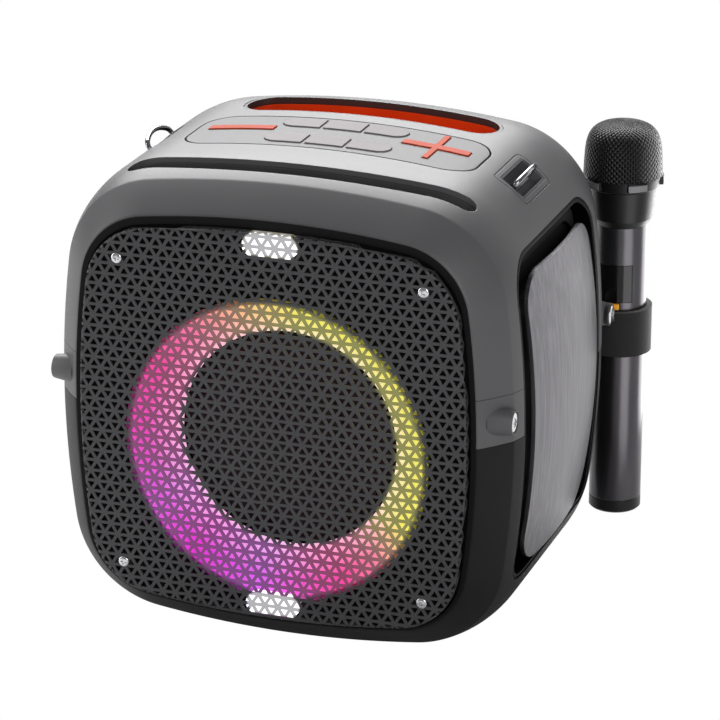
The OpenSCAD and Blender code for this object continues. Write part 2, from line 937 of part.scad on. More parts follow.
// The skin's section on the sides, drawn in by sink, a given depth thick
module side_section(sink, depth) {
    translate([-depth, -straight_y]) square([depth - sink, 2 * straight_y]);
    for (m = [0, 1]) mirror([0, m]) intersection() {
        translate([-shoulder_r, straight_y]) circle(shoulder_r - sink, $fn = 180);
        translate([-depth, straight_y]) square([depth, 28]);
    }
}

module side_frame(side) {
    rim = 2.6;
    color("#0e0e0f") mirror([side > 0 ? 0 : 1, 0, 0]) union() {
        intersection() {
            sideways(ledge_x, 150) difference() {
                side_outline(fit);
                side_outline(rim);
            }
            upright() {
                round_side(0) side_section(0.7, 32);
                round_corner(0) side_section(0.7, 32);
                round_corner(3) side_section(0.7, 32);
            }
        }
        sideways(ledge_x, ledge_x + ledge_t) difference() {
            side_outline(rim - 0.8);
            translate([0, plate_z]) rounded(hub_w + 12, hub_h + 12, 20);
        }
    }
}

module side_frame_right() { side_frame(1); }
module side_frame_left() { side_frame(-1); }

module radiator_surround(side) {
    x = ledge_x + ledge_t;
    color("#141416") {
        sideways(x, x + surround_t, side) difference() {
            side_outline(3);
            translate([0, plate_z]) rounded(hub_w + 0.6, hub_h + 0.6, 14.3);
        }
        sideways(x + surround_t, x + surround_t + 2.6, side) difference() {
            side_outline(5);
            side_outline(12);
            translate([0, plate_z]) rounded(plate_w - 2, plate_h - 2, 20);
        }
    }
}

module radiator_surround_right() { radiator_surround(1); }
module radiator_surround_left() { radiator_surround(-1); }

module radiator_plate(side) {
    hub_t = 3;
    color("silver") mirror([side > 0 ? 0 : 1, 0, 0]) {
        intersection() {
            sideways(100, 150) translate([0, plate_z]) rounded(plate_w, plate_h, plate_r);
            translate([plate_x - plate_dome, 0, plate_z]) difference() {
                sphere(plate_dome, $fn = 360);
                sphere(plate_dome - plate_t, $fn = 360);
            }
        }
        intersection() {
            sideways(ledge_x + ledge_t, 150) translate([0, plate_z]) difference() {
                rounded(hub_w, hub_h, 14);
                rounded(hub_w - 2 * hub_t, hub_h - 2 * hub_t, 14 - hub_t);
            }
            translate([plate_x - plate_dome, 0, plate_z])
                sphere(plate_dome - plate_t, $fn = 360);
        }
    }
}

module radiator_plate_right() { radiator_plate(1); }
module radiator_plate_left() { radiator_plate(-1); }

// ---- rear -------------------------------------------------------------------

socket_z = 92;
socket_w = 96;
socket_h = 30;

module rear_panel() {
    color("#1a1a1b") difference() {
        union() {
            slab(wall_inset + fit, rear_out - rear_t, rear_out);
            for (x = [-56, 56], z = [102, 194]) translate([x, rear_out - 1, z])
                rotate([90, 0, 0]) cylinder(r = 3.4, h = rear_out - 1 - board_y - board_t);
        }
        translate([0, rear_out - 1, socket_z]) rotate([90, 0, 0])
            linear_extrude(20, center = true) rounded(socket_w, socket_h, 6);
        for (i = [0:7]) translate([-42, rear_out - 5, 152 + 6 * i]) cube([84, 10, 2.4]);
        rear_screw_places() cylinder(r = 2, h = 40, center = true);
    }
}

module rear_screw_places() {
    for (x = [-1, 1], z = [-1, 1])
        translate([84 * x, rear_out, body_z + 84 * z]) rotate([90, 0, 0]) children();
}

module rear_screws() {
    color("#4a4a4a") rear_screw_places() {
        translate([0, 0, -1.4]) cylinder(r = 3.6, h = 1.4);
        translate([0, 0, -0.5]) cylinder(r = 1.8, h = 12);
    }
}

module socket_plate() {
    color("#262628") difference() {
        union() {
            translate([0, rear_out, socket_z]) rotate([90, 0, 0])
                linear_extrude(3) rounded(socket_w - 2 * fit, socket_h - 2 * fit, 5.8);
            translate([0, rear_out - 3, socket_z]) rotate([90, 0, 0])
                linear_extrude(14) rounded(socket_w - 8, socket_h - 8, 4);
        }
        for (x = [10, 32]) translate([x, rear_out + 1, socket_z]) rotate([90, 0, 0])
            cylinder(r = 3.2, h = 14);
        translate([-10, rear_out - 5, socket_z]) cube([13, 14, 5.4], center = true);
        translate([-33, rear_out - 5, socket_z]) cube([19, 14, 11], center = true);
    }
}

// ---- inside -------------------------------------------------------------------

board_y = 62;

module main_board() {
    color("darkgreen") {
        translate([-62, board_y, 96]) cube([124, board_t, 104]);
        for (x = [-44, -14, 30]) translate([x, board_y - 3, 112]) cube([16, 3, 16]);
        for (x = [-40:20:40]) translate([x, board_y, 186]) rotate([90, 0, 0])
            cylinder(r = 6, h = 16);
    }
}

module heat_sink() {
    color("silver") {
        translate([-30, board_y - 3, 140]) cube([60, 3, 34]);
        for (x = [-30:7:26]) translate([x, board_y - 17, 140]) cube([2, 14.5, 34]);
    }
}

module battery_pack() {
    low = 11.4;
    cell_r = 9.2;
    color("steelblue") {
        for (i = [-3:3]) translate([i * 18.6, -35, low + cell_r]) rotate([-90, 0, 0])
            cylinder(r = cell_r, h = 70);
        translate([-66, -36.5, low - 1.5]) cube([132, 73, 6]);
    }
}

// ---- microphone -------------------------------------------------------------

module at_mic() {
    translate([mic_x, mic_y, 0]) children();
}

// The band's ring, and the eyelet that the clamp's screw holds
module mic_band() {
    ring_in = tube_r + 0.3;
    tab_x = boss_x - 1.1;
    eye_r = 6.2;
    color("#1c1c1d") difference() {
        union() {
            at_mic() translate([0, 0, band_low]) cylinder(r = band_r, h = band_high - band_low);
            mirror([0, 1, 0]) along_x(eye_r, tab_x, tab_x + 2.2);
            translate([tab_x, boss_y, boss_z - eye_r])
                cube([2.2, 98 - boss_y, band_high - boss_z + eye_r]);
        }
        at_mic() translate([0, 0, band_low - 1]) cylinder(r = ring_in, h = 40);
        mirror([0, 1, 0]) along_x(2.1, 110, 140);
    }
}

// Radius of the head at a height above its lower edge, from 0 to 1 of its rise
function head_at(u) = head_r * pow(1 - pow(u, 5), 1 / 3.2) * (1 - 0.05 * u);

module mic_grille() {
    low = collar_high + 0.1;
    rise = mic_high - low;
    steps = 14;
    u = [for (i = [0:steps]) 1 - pow(1 - i / steps, 2)];
    t = 1.3;
    color("#2a2a2a") at_mic() rotate_extrude() difference() {
        polygon(concat([[0, low]], [for (v = u) [head_at(v), low + rise * v]]));
        polygon(concat([[0, low - 1], [head_r - t, low - 1]],
            [for (v = u) [max(0, head_at(v) - t), low + (rise - t) * v]]));
    }
}

module mic_collar() {
    lug_turn = 19.3;
    color("#151516") at_mic() {
        rotate_extrude() polygon([
            [tube_r + 0.1, collar_low], [17, collar_low + 3.8], [17.4, collar_low + 7],
            [18.7, collar_high - 7], [20.4, collar_high - 6], [21.6, collar_high],
            [12, collar_high], [12, collar_low + 1], [tube_r - tube_wall - 0.2, collar_low + 1],
            [tube_r - tube_wall - 0.2, collar_low - 6], [12, collar_low - 6],
            [11, collar_low - 6], [11, collar_low - 7], [tube_r - tube_wall - 0.1, collar_low - 7],
            [tube_r - tube_wall - 0.1, collar_low]
        ]);
        intersection() {
            cylinder(r = 22.6, h = 300);
            for (turn = [0:72:288]) rotate(lug_turn + turn)
                translate([18, -5.5, collar_high - 5]) cube([8, 11, 4.6]);
        }
    }
}

// A stretch of tube that faces the front, between two radii
module front_patch(r0, r1, z0, z1, turn) {
    at_mic() intersection() {
        translate([0, 0, z0]) difference() {
            cylinder(r = r1, h = z1 - z0);
            translate([0, 0, -1]) cylinder(r = r0, h = z1 - z0 + 2);
        }
        flat(z0 - 1, z1 + 1)
            polygon([[0, 0], 3 * r1 * [sin(turn), -cos(turn)], [0, -4 * r1],
                3 * r1 * [-sin(turn), -cos(turn)]]);
    }
}

module mic_tube() {
    low = mic_low + cap_h + 0.3;
    color("#55555a") difference() {
        at_mic() difference() {
            translate([0, 0, low]) cylinder(r = tube_r, h = collar_low - 0.1 - low);
            translate([0, 0, low - 1]) cylinder(r = tube_r - tube_wall, h = 200);
        }
        front_patch(tube_r - 0.8, tube_r + 1, display_low - fit, display_high + fit,
            display_turn + 0.8);
        button_block(0.3, 9);
    }
}

module mic_display() {
    color("#08080a") front_patch(tube_r - 0.8, tube_r, display_low, display_high,
        display_turn);
}

// The orange button's block, grown by gap
module button_block(gap, depth) {
    at_mic() translate([0, -tube_r - 1 + depth / 2, button_z])
        cube([7 + 2 * gap, depth, 3.2 + 2 * gap], center = true);
}

module mic_button() {
    color("orange") intersection() {
        button_block(0, 3.6);
        at_mic() cylinder(r = tube_r + 0.8, h = 300);
    }
}

module mic_cap() {
    color("#161616") at_mic() {
        translate([0, 0, mic_low + 1]) cylinder(r = tube_r, h = cap_h - 1);
        translate([0, 0, mic_low]) cylinder(r1 = tube_r - 1, r2 = tube_r, h = 1);
        translate([0, 0, mic_low + 2]) cylinder(r = tube_r - tube_wall - 0.06, h = cap_h + 4);
    }
}

module mic_capsule() {
    color("gold") at_mic() {
        translate([0, 0, collar_high - 8]) cylinder(r = 11.9, h = 14);
        translate([0, 0, collar_high + 6]) cylinder(r = 9, h = 4);
    }
}

module mic_battery() {
    color("steelblue") at_mic() translate([0, 0, 44]) cylinder(r = 9, h = 65);
}

upper_shell();
lower_shell();
corner_clamps();
clamp_screws();
base_foot();
front_frame();
baffle();
grille();
grille_screws();
light_windows();
light_ring();
light_board();
woofer_basket();
woofer_magnet();
woofer_cone();
dust_cap();
voice_coil();
woofer_surround();
spider();
woofer_screws();
control_panel();
volume_down_key();
volume_up_key();
power_key();
pairing_key();
light_key();
play_key();
sound_key();
effect_key();
key_board();
key_switches();
tablet_slot();
handle_trim();
handle_liner();
strap_mount_left();
strap_mount_right();
strap_ring_left();
strap_ring_right();
side_frame_left();
side_frame_right();
radiator_surround_left();
radiator_surround_right();
radiator_plate_left();
radiator_plate_right();
rear_panel();
socket_plate();
rear_screws();
main_board();
heat_sink();
battery_pack();
mic_band();
mic_grille();
mic_collar();
mic_tube();
mic_display();
mic_button();
mic_cap();
mic_capsule();
mic_battery();
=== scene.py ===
"""Looks of the portable karaoke speaker: camera, fine geometry, finishes and studio light."""

import math

import bmesh
import bpy
import numpy as np
from mathutils import Matrix, Vector


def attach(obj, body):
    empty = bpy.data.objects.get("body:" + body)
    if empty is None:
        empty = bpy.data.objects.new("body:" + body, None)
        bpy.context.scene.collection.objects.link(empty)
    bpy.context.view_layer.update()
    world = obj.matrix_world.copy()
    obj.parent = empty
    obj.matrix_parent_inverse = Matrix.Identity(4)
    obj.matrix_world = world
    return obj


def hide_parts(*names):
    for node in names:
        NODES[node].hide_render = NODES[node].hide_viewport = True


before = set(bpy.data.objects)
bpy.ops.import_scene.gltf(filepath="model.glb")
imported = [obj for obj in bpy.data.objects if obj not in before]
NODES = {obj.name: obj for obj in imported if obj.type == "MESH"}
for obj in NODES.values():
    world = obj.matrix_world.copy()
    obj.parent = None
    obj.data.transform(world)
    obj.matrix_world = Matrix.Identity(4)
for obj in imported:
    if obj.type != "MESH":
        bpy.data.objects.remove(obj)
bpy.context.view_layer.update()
MM = 0.001

# ---- camera ---------------------------------------------------------------

# The photograph's view: from 19.3 degrees right of the front and 20.1 degrees above the floor
YAW, PITCH = math.radians(19.297), math.radians(20.106)
EYE = (0.6178, -1.7276, 0.8063)
look = Vector((-math.sin(YAW) * math.cos(PITCH), math.cos(YAW) * math.cos(PITCH), -math.sin(PITCH)))
right = Vector((math.cos(YAW), math.sin(YAW), 0))
turned = Matrix((right, right.cross(look), -look)).transposed().to_4x4()
cam_data = bpy.data.cameras.new("camera")
# A long lens, fitted to how little the photograph's lines draw together
cam_data.lens = 179.57
cam_data.sensor_width = 36
cam_data.clip_end = 50
cam_data.dof.use_dof = False
camera = bpy.data.objects.new("camera", cam_data)
camera.matrix_world = Matrix.Translation(EYE) @ turned
bpy.context.scene.collection.objects.link(camera)
bpy.context.scene.camera = camera
bpy.context.scene.view_settings.view_transform = "Standard"

# ---- sizes and places in millimetres, most of them the solids' own -------------

# Half of the housing's width, its corners' centre and radius, and the height of its middle
HALF, CK, CR, BODY_Z = 131.0, 66.5, 60.0, 133.6
# Thickness of its wall, and half of the flat run on top, from front to back
WALL, CROWN_Y = 3.2, 49.4
# Arcs of its section in front of the middle: centre outwards and forwards, radius and two angles
SHOULDER = (-104.8, CROWN_Y, 104.8, 0, 18)
CREASE = (-10.84, 79.95, 6, 18, 35)
BEZEL = (-112.4, 8.82, 130, 35, 44)
RIM = (-20.7, 97.39, 2.5, 44, 88)
INSIDE = (-104.8, CROWN_Y, 101.6, 16, 0)
# The section's lip behind the rim, and its way back to the inside
LIP = [(-20.9, 99.0), (-20.9, 95.5), (-18.4, 95.4), (-16.0, 91.0), (-12.0, 82.0)]
# Deep recess in each side: front, rear, lower and upper edge, and the radii of its corners
RECESS_FRONT, RECESS_REAR, RECESS_LOW, RECESS_HIGH = -73.4, 61.4, 48.7, 227.6
RECESS_TOP_R, RECESS_BASE_R = 22, 11
# How far out from the middle plane the recesses cut through the sides
RECESS_FROM, RECESS_TO = 60, 170
# Panel and handle pocket: width, depth, corner radius and middle of their openings in the top
PANEL_OPENING = (163.2, 55.2, 17, 2.7, -7.4)
POCKET_OPENING = (147.6, 31, 15.49, 3.7, 46.7)
# Slot: its middle, how far its ends lie behind it, half of its run and half of its opening
SLOT_X, SLOT_Y, SLOT_BOW, SLOT_RUN, SLOT_R = 2.2, -68.0, 4.0, 89.4, 6.4
# Heights from which the panel, the slot and the pocket cut through the top
PANEL_FROM, SLOT_FROM, POCKET_FROM, ABOVE = 246, 244, 220, 300
# Strap mounts: turned about a corner's centre; width, depth and radius of the opening and the groove
STRAP_TURN, STRAP_Y = math.radians(37.1), 3.2
STRAP_OPENING, GROOVE_OUTER, GROOVE_INNER = (17, 38, 1.6), (23.6, 44.4, 4), (22.6, 43.4, 3.5)
# Distances from that centre at which the opening, the groove and the groove's core are cut
OPENING_FROM, GROOVE_FROM, GROOVE_TO, CORE_FROM, BEYOND = 45, 58.3, 70, 50, 80
# Lower and upper edge of the clamps between the shells, and the seam on either side of them
CLAMP_LOW, CLAMP_HIGH, SEAM = 134.0, 160.0, 0.2
# Side screws: their axis, where their bosses begin, and a boss's radius at its root and its end
BOSS_Y, BOSS_Z, BOSS_ROOT, ROOT_R, END_R = 88.3, 146.6, 115.0, 8.2, 6.5
# How far out the bosses end and the heads lie, and the same where the band is clamped
BOSS_END, BOSS_HEAD, BAND_END, BAND_HEAD = 127.8, 126.6, 126.6, 129.1
# The cup in a boss's end
CUP_R, CUP_DEPTH = 5.7, 1.3
# The grille's face, its middle, how far it is drawn in from the housing's outline, and its sheet
FACE_Y, GRILLE_Z, GRILLE_INSET, SHEET = -105.3, 132.0, 25.6, 0.8
# The grille's screws, from its middle
SCREW_X, SCREW_Z = 83.7, 85.3
# The microphone's axis, and the foot, the top and the radius of its head
MIC_X, MIC_Y, HEAD_LOW, HEAD_HIGH, HEAD_R = 126.9, 114.7, 220.7, 250.0, 22.0

# ---- housing outline --------------------------------------------------------

# The outline's four long sides bow out a little and meet the corners' arcs smoothly: SR is their
# radius and TURN is half of the angle that each one spans
E = HALF - CK
SR = (CK * CK + E * E - CR * CR) / (2 * (E - CR))
TURN = math.asin(CK / (SR - CR))


def outline_arcs(side_steps, corner_steps):
    """Centres, radii and directions round the outline, from its right side, anticlockwise in front."""
    out = []
    for q in range(4):
        base = q * math.pi / 2
        rot = np.array([[math.cos(base), -math.sin(base)], [math.sin(base), math.cos(base)]])
        for k in range(side_steps):
            out.append((rot @ [HALF - SR, 0], SR, base - TURN + 2 * TURN * k / side_steps))
        for k in range(corner_steps):
            a = TURN + (math.pi / 2 - 2 * TURN) * k / corner_steps
            out.append((rot @ [CK, CK], CR, base + a))
    return out


def outside(x, z, inset):
    """How far a point lies outside the outline drawn in by inset, and the outward direction."""
    ax, az = abs(x), abs(z)
    angle = math.atan2(az - CK, ax - CK) if ax > CK and az > CK else None
    if angle is not None and TURN <= angle <= math.pi / 2 - TURN:
        cx, cz, r = CK, CK, CR
    elif ax >= az:
        cx, cz, r = HALF - SR, 0, SR
    else:
        cx, cz, r = 0, HALF - SR, SR
    dx, dz = ax - cx, az - cz
    n = math.hypot(dx, dz)
    return n - (r - inset), math.copysign(dx / n, x), math.copysign(dz / n, z)


def arc(cx, cy, r, a0, a1, steps):
    """Points along an arc between two angles in degrees."""
    return [(cx + r * math.cos(a), cy + r * math.sin(a))
            for a in np.radians(np.linspace(a0, a1, steps + 1))]


def new_object(name, verts, faces, smooth=True):
    """A mesh object from points in millimetres."""
    mesh = bpy.data.meshes.new(name)
    mesh.from_pydata([tuple(float(c) * MM for c in v) for v in verts], [], faces)
    mesh.validate()
    obj = bpy.data.objects.new(name, mesh)
    bpy.context.scene.collection.objects.link(obj)
    if smooth:
        for p in mesh.polygons:
            p.use_smooth = True
    return obj


def fix_normals(obj):
    """Turns a closed mesh's faces outwards."""
    bm = bmesh.new()
    bm.from_mesh(obj.data)
    bmesh.ops.recalc_face_normals(bm, faces=bm.faces)
    bm.to_mesh(obj.data)
    bm.free()
    return obj


def apply_modifiers(obj):
    """Bakes an object's modifiers into its mesh."""
    bpy.context.view_layer.update()
    deps = bpy.context.evaluated_depsgraph_get()
    mesh = bpy.data.meshes.new_from_object(obj.evaluated_get(deps), depsgraph=deps)
    obj.modifiers.clear()
    old = obj.data
    obj.data = mesh
    bpy.data.meshes.remove(old)


def auto_smooth(obj, angle=30):
    """Smooth shading that stays sharp at edges beyond an angle in degrees."""
    mesh = obj.data
    for p in mesh.polygons:
        p.use_smooth = True
    bm = bmesh.new()
    bm.from_mesh(mesh)
    limit = math.radians(angle)
    for e in bm.edges:
        e.smooth = len(e.link_faces) == 2 and e.calc_face_angle(0) < limit
    bm.to_mesh(mesh)
    bm.free()


# ---- finishes -----------------------------------------------------------------

def srgb(code):
    """Linear colour of an sRGB hex code."""
    out = []
    for i in (0, 2, 4):
        c = int(code[i:i + 2], 16) / 255
        out.append(c / 12.92 if c <= 0.04045 else ((c + 0.055) / 1.055) ** 2.4)
    return (*out, 1)


def node(tree, kind, settings=None, values=None, links=None, stops=()):
    """Adds a shader node with its settings, its constant sockets, its links and a ramp's stops."""
    n = tree.nodes.new(kind)
    for k, v in (settings or {}).items():
        setattr(n, k, v)
    for k, v in (values or {}).items():
        n.inputs[k].default_value = v
    for k, v in (links or {}).items():
        tree.links.new(v, n.inputs[k])
    # a ramp has two stops from the start
    for _ in stops[2:]:
        n.color_ramp.elements.new(0.5)
    for k, (position, colour) in enumerate(stops):
        n.color_ramp.elements[k].position = position
        n.color_ramp.elements[k].color = colour
    return n


def start(name):
    """A new material, its empty node tree and the part's own coordinates."""
    m = bpy.data.materials.new(name)
    m.use_nodes = True
    t = m.node_tree
    t.nodes.clear()
    return m, t, node(t, "ShaderNodeTexCoord").outputs["Object"]


def moulded(name, tone, tone2, rough=(0.42, 0.55), grain=0.0009, depth=0.00002, metallic=0.0,
            coat=0.0, edge=0.0006, specular=0.5):
    """Moulded or painted surface: a faint cloudiness of tone and gloss, a fine grain, soft edges.

    The clouds are about 45 mm across. The grain is 0.9 mm, coarser than a mould's real grain of
    about 0.1 mm, which would be too fine to show.
    """
    m, t, co = start(name)
    cloud = node(t, "ShaderNodeTexNoise", values={"Scale": 22, "Detail": 4}, links={"Vector": co})
    fine = node(t, "ShaderNodeTexNoise", values={"Scale": 1 / grain, "Detail": 2}, links={"Vector": co})
    colour = node(t, "ShaderNodeValToRGB", links={"Fac": cloud.outputs["Fac"]},
                  stops=[(0.3, srgb(tone)), (0.7, srgb(tone2))])
    gloss = node(t, "ShaderNodeMapRange", values={"To Min": rough[0], "To Max": rough[1]},
                 links={"Value": fine.outputs["Fac"]})
    soft = node(t, "ShaderNodeBevel", {"samples": 4}, {"Radius": edge})
    bump = node(t, "ShaderNodeBump", values={"Strength": 0.5, "Distance": depth},
                links={"Height": fine.outputs["Fac"], "Normal": soft.outputs[0]})
    s = node(t, "ShaderNodeBsdfPrincipled",
             values={"Metallic": metallic, "Coat Weight": coat, "Coat Roughness": 0.12,
                     "Specular IOR Level": specular},
             links={"Base Color": colour.outputs[0], "Roughness": gloss.outputs[0],
                    "Normal": bump.outputs[0]})
    node(t, "ShaderNodeOutputMaterial", links={"Surface": s.outputs[0]})
    return m


def brushed(name, dark, light, rough=0.34, stretch=(400, 400, 14), metallic=1.0, edge=0.0005,
            depth=0.00001):
    """Metal brushed along Z: streaks of tone and gloss, stretch giving their number to the metre."""
    m, t, co = start(name)
    drawn = node(t, "ShaderNodeMapping", values={"Scale": stretch}, links={"Vector": co})
    streak = node(t, "ShaderNodeTexNoise", values={"Scale": 1, "Detail": 5, "Roughness": 0.62},
                  links={"Vector": drawn.outputs[0]})
    colour = node(t, "ShaderNodeValToRGB", links={"Fac": streak.outputs["Fac"]},
                  stops=[(0.32, srgb(dark)), (0.68, srgb(light))])
    gloss = node(t, "ShaderNodeMapRange", values={"To Min": rough - 0.07, "To Max": rough + 0.09},
                 links={"Value": streak.outputs["Fac"]})
    soft = node(t, "ShaderNodeBevel", {"samples": 4}, {"Radius": edge})
    bump = node(t, "ShaderNodeBump", values={"Strength": 0.35, "Distance": depth},
                links={"Height": streak.outputs["Fac"], "Normal": soft.outputs[0]})
    s = node(t, "ShaderNodeBsdfPrincipled", values={"Metallic": metallic},
             links={"Base Color": colour.outputs[0], "Roughness": gloss.outputs[0],
                    "Normal": bump.outputs[0]})
    node(t, "ShaderNodeOutputMaterial", links={"Surface": s.outputs[0]})
    return m


def window_lens(name, tone, tone2, strength):
    """Milky lens lit evenly from behind, with clouds of about 11 mm."""
    m, t, co = start(name)
    fine = node(t, "ShaderNodeTexNoise", values={"Scale": 90, "Detail": 2}, links={"Vector": co})
    colour = node(t, "ShaderNodeValToRGB", links={"Fac": fine.outputs["Fac"]},
                  stops=[(0.3, srgb(tone)), (0.7, srgb(tone2))])
    power = node(t, "ShaderNodeMapRange", values={"To Min": strength * 0.93, "To Max": strength * 1.07},
                 links={"Value": fine.outputs["Fac"]})
    s = node(t, "ShaderNodeBsdfPrincipled", values={"Roughness": 0.4},
             links={"Base Color": colour.outputs[0], "Emission Color": colour.outputs[0],
                    "Emission Strength": power.outputs[0]})
    node(t, "ShaderNodeOutputMaterial", links={"Surface": s.outputs[0]})
    return m


def colours_round(t, off):
    """The ring's sweep of colours round a centre, from the offset to it."""
    lay = node(t, "ShaderNodeMapping", values={"Rotation": (-math.pi / 2, 0, 0)}, links={"Vector": off})
    turn = node(t, "ShaderNodeTexGradient", {"gradient_type": "RADIAL"},
                links={"Vector": lay.outputs[0]})
    return node(t, "ShaderNodeValToRGB", links={"Fac": turn.outputs["Fac"]}, stops=SWEEP).outputs[0]


def from_centre(t, co, centre):
    """The offset from a centre, and how far it reaches as seen from the front."""
    off = node(t, "ShaderNodeVectorMath", {"operation": "SUBTRACT"}, {1: centre}, {0: co})
    flat = node(t, "ShaderNodeVectorMath", {"operation": "MULTIPLY"}, {1: (1, 0, 1)}, {0: off.outputs[0]})
    reach = node(t, "ShaderNodeVectorMath", {"operation": "LENGTH"}, links={0: flat.outputs[0]})
    return off.outputs[0], reach.outputs["Value"]


def ring_lens(name, strength):
    """Milky funnel over the lamps: its colours sweep round, pale inwards and stop at the flat rim."""
    m, t, co = start(name)
    fine = node(t, "ShaderNodeTexNoise", values={"Scale": 90, "Detail": 2}, links={"Vector": co})
    off, reach = from_centre(t, co, RING_CENTRE)
    part = node(t, "ShaderNodeMapRange",
                values={"From Min": PALE_BAND[0], "From Max": PALE_BAND[1], "To Min": PALE_INSIDE,
                        "To Max": 0}, links={"Value": reach})
    pale = node(t, "ShaderNodeMix", {"data_type": "RGBA"}, {7: srgb("ffe8f4")},
                {0: part.outputs[0], 6: colours_round(t, off)})
    even = node(t, "ShaderNodeMapRange", values={"To Min": strength * 0.93, "To Max": strength * 1.07},
                links={"Value": fine.outputs["Fac"]})
    rim = node(t, "ShaderNodeMapRange",
               values={"From Min": DARK_RIM[0], "From Max": DARK_RIM[1], "To Min": 1, "To Max": 0.02},
               links={"Value": reach})
    power = node(t, "ShaderNodeMath", {"operation": "MULTIPLY"},
                 links={0: even.outputs[0], 1: rim.outputs[0]})
    s = node(t, "ShaderNodeBsdfPrincipled", values={"Roughness": 0.4},
             links={"Base Color": pale.outputs[2], "Emission Color": pale.outputs[2],
                    "Emission Strength": power.outputs[0]})
    node(t, "ShaderNodeOutputMaterial", links={"Surface": s.outputs[0]})
    return m


def within(t, reach, edge):
    """1 inside the first distance of an edge, falling to 0 at the second."""
    part = node(t, "ShaderNodeMapRange",
                values={"From Min": edge[0], "From Max": edge[1], "To Min": 1, "To Max": 0},
                links={"Value": reach})
    return part.outputs[0]


def coat_with_painted_glow(name, tone, tone2):
    """Powder coat of 0.6 mm speckle, with a painted glow of the ring and the windows on the bars in
    front.
    """
    m, t, co = start(name)
    fine = node(t, "ShaderNodeTexNoise", values={"Scale": 1600, "Detail": 2}, links={"Vector": co})
    colour = node(t, "ShaderNodeValToRGB", links={"Fac": fine.outputs["Fac"]},
                  stops=[(0.3, srgb(tone)), (0.7, srgb(tone2))])
    # the ring's painted glow: within its outer edge and beyond its inner one
    off, to_outer = from_centre(t, co, GLOW_OUTER_CENTRE)
    _, to_inner = from_centre(t, co, GLOW_INNER_CENTRE)
    dark = node(t, "ShaderNodeMath", {"operation": "SUBTRACT"}, {0: 1.0},
                {1: within(t, to_inner, GLOW_INNER)})
    band = node(t, "ShaderNodeMath", {"operation": "MULTIPLY"},
                links={0: within(t, to_outer, GLOW_OUTER), 1: dark.outputs[0]})
    # the windows' painted glow, in stadiums: distance beyond a middle segment
    xyz = node(t, "ShaderNodeSeparateXYZ", links={0: co})
    side = node(t, "ShaderNodeMath", {"operation": "SUBTRACT"}, {1: PANE_X}, {0: xyz.outputs[0]})
    along = node(t, "ShaderNodeMath", {"operation": "ABSOLUTE"}, links={0: side.outputs[0]})
    beyond = node(t, "ShaderNodeMath", {"operation": "SUBTRACT", "use_clamp": True}, {1: PANE_HALF},
                  {0: along.outputs[0]})
    up = node(t, "ShaderNodeMath", {"operation": "SUBTRACT"}, {1: PANE_MID_Z}, {0: xyz.outputs[2]})
    height = node(t, "ShaderNodeMath", {"operation": "ABSOLUTE"}, links={0: up.outputs[0]})
    level = node(t, "ShaderNodeMath", {"operation": "SUBTRACT"}, {1: PANE_RISE}, {0: height.outputs[0]})
    both = node(t, "ShaderNodeCombineXYZ", links={0: beyond.outputs[0], 1: level.outputs[0]})
    gap = node(t, "ShaderNodeVectorMath", {"operation": "LENGTH"}, links={0: both.outputs[0]})
    pane = within(t, gap.outputs["Value"], PANE_EDGE)
    # painted glow: the bars are no lamp, yet they emit the ring's colours and the windows' white
    painted_glow_colour = node(t, "ShaderNodeMix", {"data_type": "RGBA"}, {7: srgb("f4f4f8")},
                {0: pane, 6: colours_round(t, off)})
    spill = node(t, "ShaderNodeMath", {"operation": "MULTIPLY"}, {1: RING_SPILL}, {0: band.outputs[0]})
    shine = node(t, "ShaderNodeMath", {"operation": "MULTIPLY"}, {1: PANE_SPILL}, {0: pane})
    power = node(t, "ShaderNodeMath", {"operation": "MAXIMUM"},
                 links={0: spill.outputs[0], 1: shine.outputs[0]})
    gloss = node(t, "ShaderNodeMapRange", values={"To Min": 0.42, "To Max": 0.6},
                 links={"Value": fine.outputs["Fac"]})
    soft = node(t, "ShaderNodeBevel", {"samples": 4}, {"Radius": 0.0003})
    bump = node(t, "ShaderNodeBump", values={"Strength": 0.5, "Distance": 0.00004},
                links={"Height": fine.outputs["Fac"], "Normal": soft.outputs[0]})
    s = node(t, "ShaderNodeBsdfPrincipled", values={"Metallic": 0.35},
             links={"Base Color": colour.outputs[0], "Roughness": gloss.outputs[0],
                    "Emission Color": painted_glow_colour.outputs[2], "Emission Strength": power.outputs[0],
                    "Normal": bump.outputs[0]})
    node(t, "ShaderNodeOutputMaterial", links={"Surface": s.outputs[0]})
    return m


def cloth(name, dark, light, pitch):
    """Woven band: two crossed sets of ribs at the pitch of its threads."""
    m, t, co = start(name)
    ribs = node(t, "ShaderNodeTexWave", {"bands_direction": "Z"},
                {"Scale": 0.31 / pitch, "Distortion": 0.4}, {"Vector": co})
    cross = node(t, "ShaderNodeTexNoise", values={"Scale": 1 / pitch}, links={"Vector": co})
    both = node(t, "ShaderNodeMath", {"operation": "MULTIPLY"},
                links={0: ribs.outputs["Fac"], 1: cross.outputs["Fac"]})
    colour = node(t, "ShaderNodeValToRGB", links={"Fac": both.outputs[0]},
                  stops=[(0.1, srgb(dark)), (0.7, srgb(light))])
    bump = node(t, "ShaderNodeBump", values={"Strength": 0.6, "Distance": 0.0002},
                links={"Height": both.outputs[0]})
    s = node(t, "ShaderNodeBsdfPrincipled",
             values={"Roughness": 0.85, "Sheen Weight": 0.12, "Specular IOR Level": 0.3},
             links={"Base Color": colour.outputs[0], "Normal": bump.outputs[0]})
    node(t, "ShaderNodeOutputMaterial", links={"Surface": s.outputs[0]})
    return m


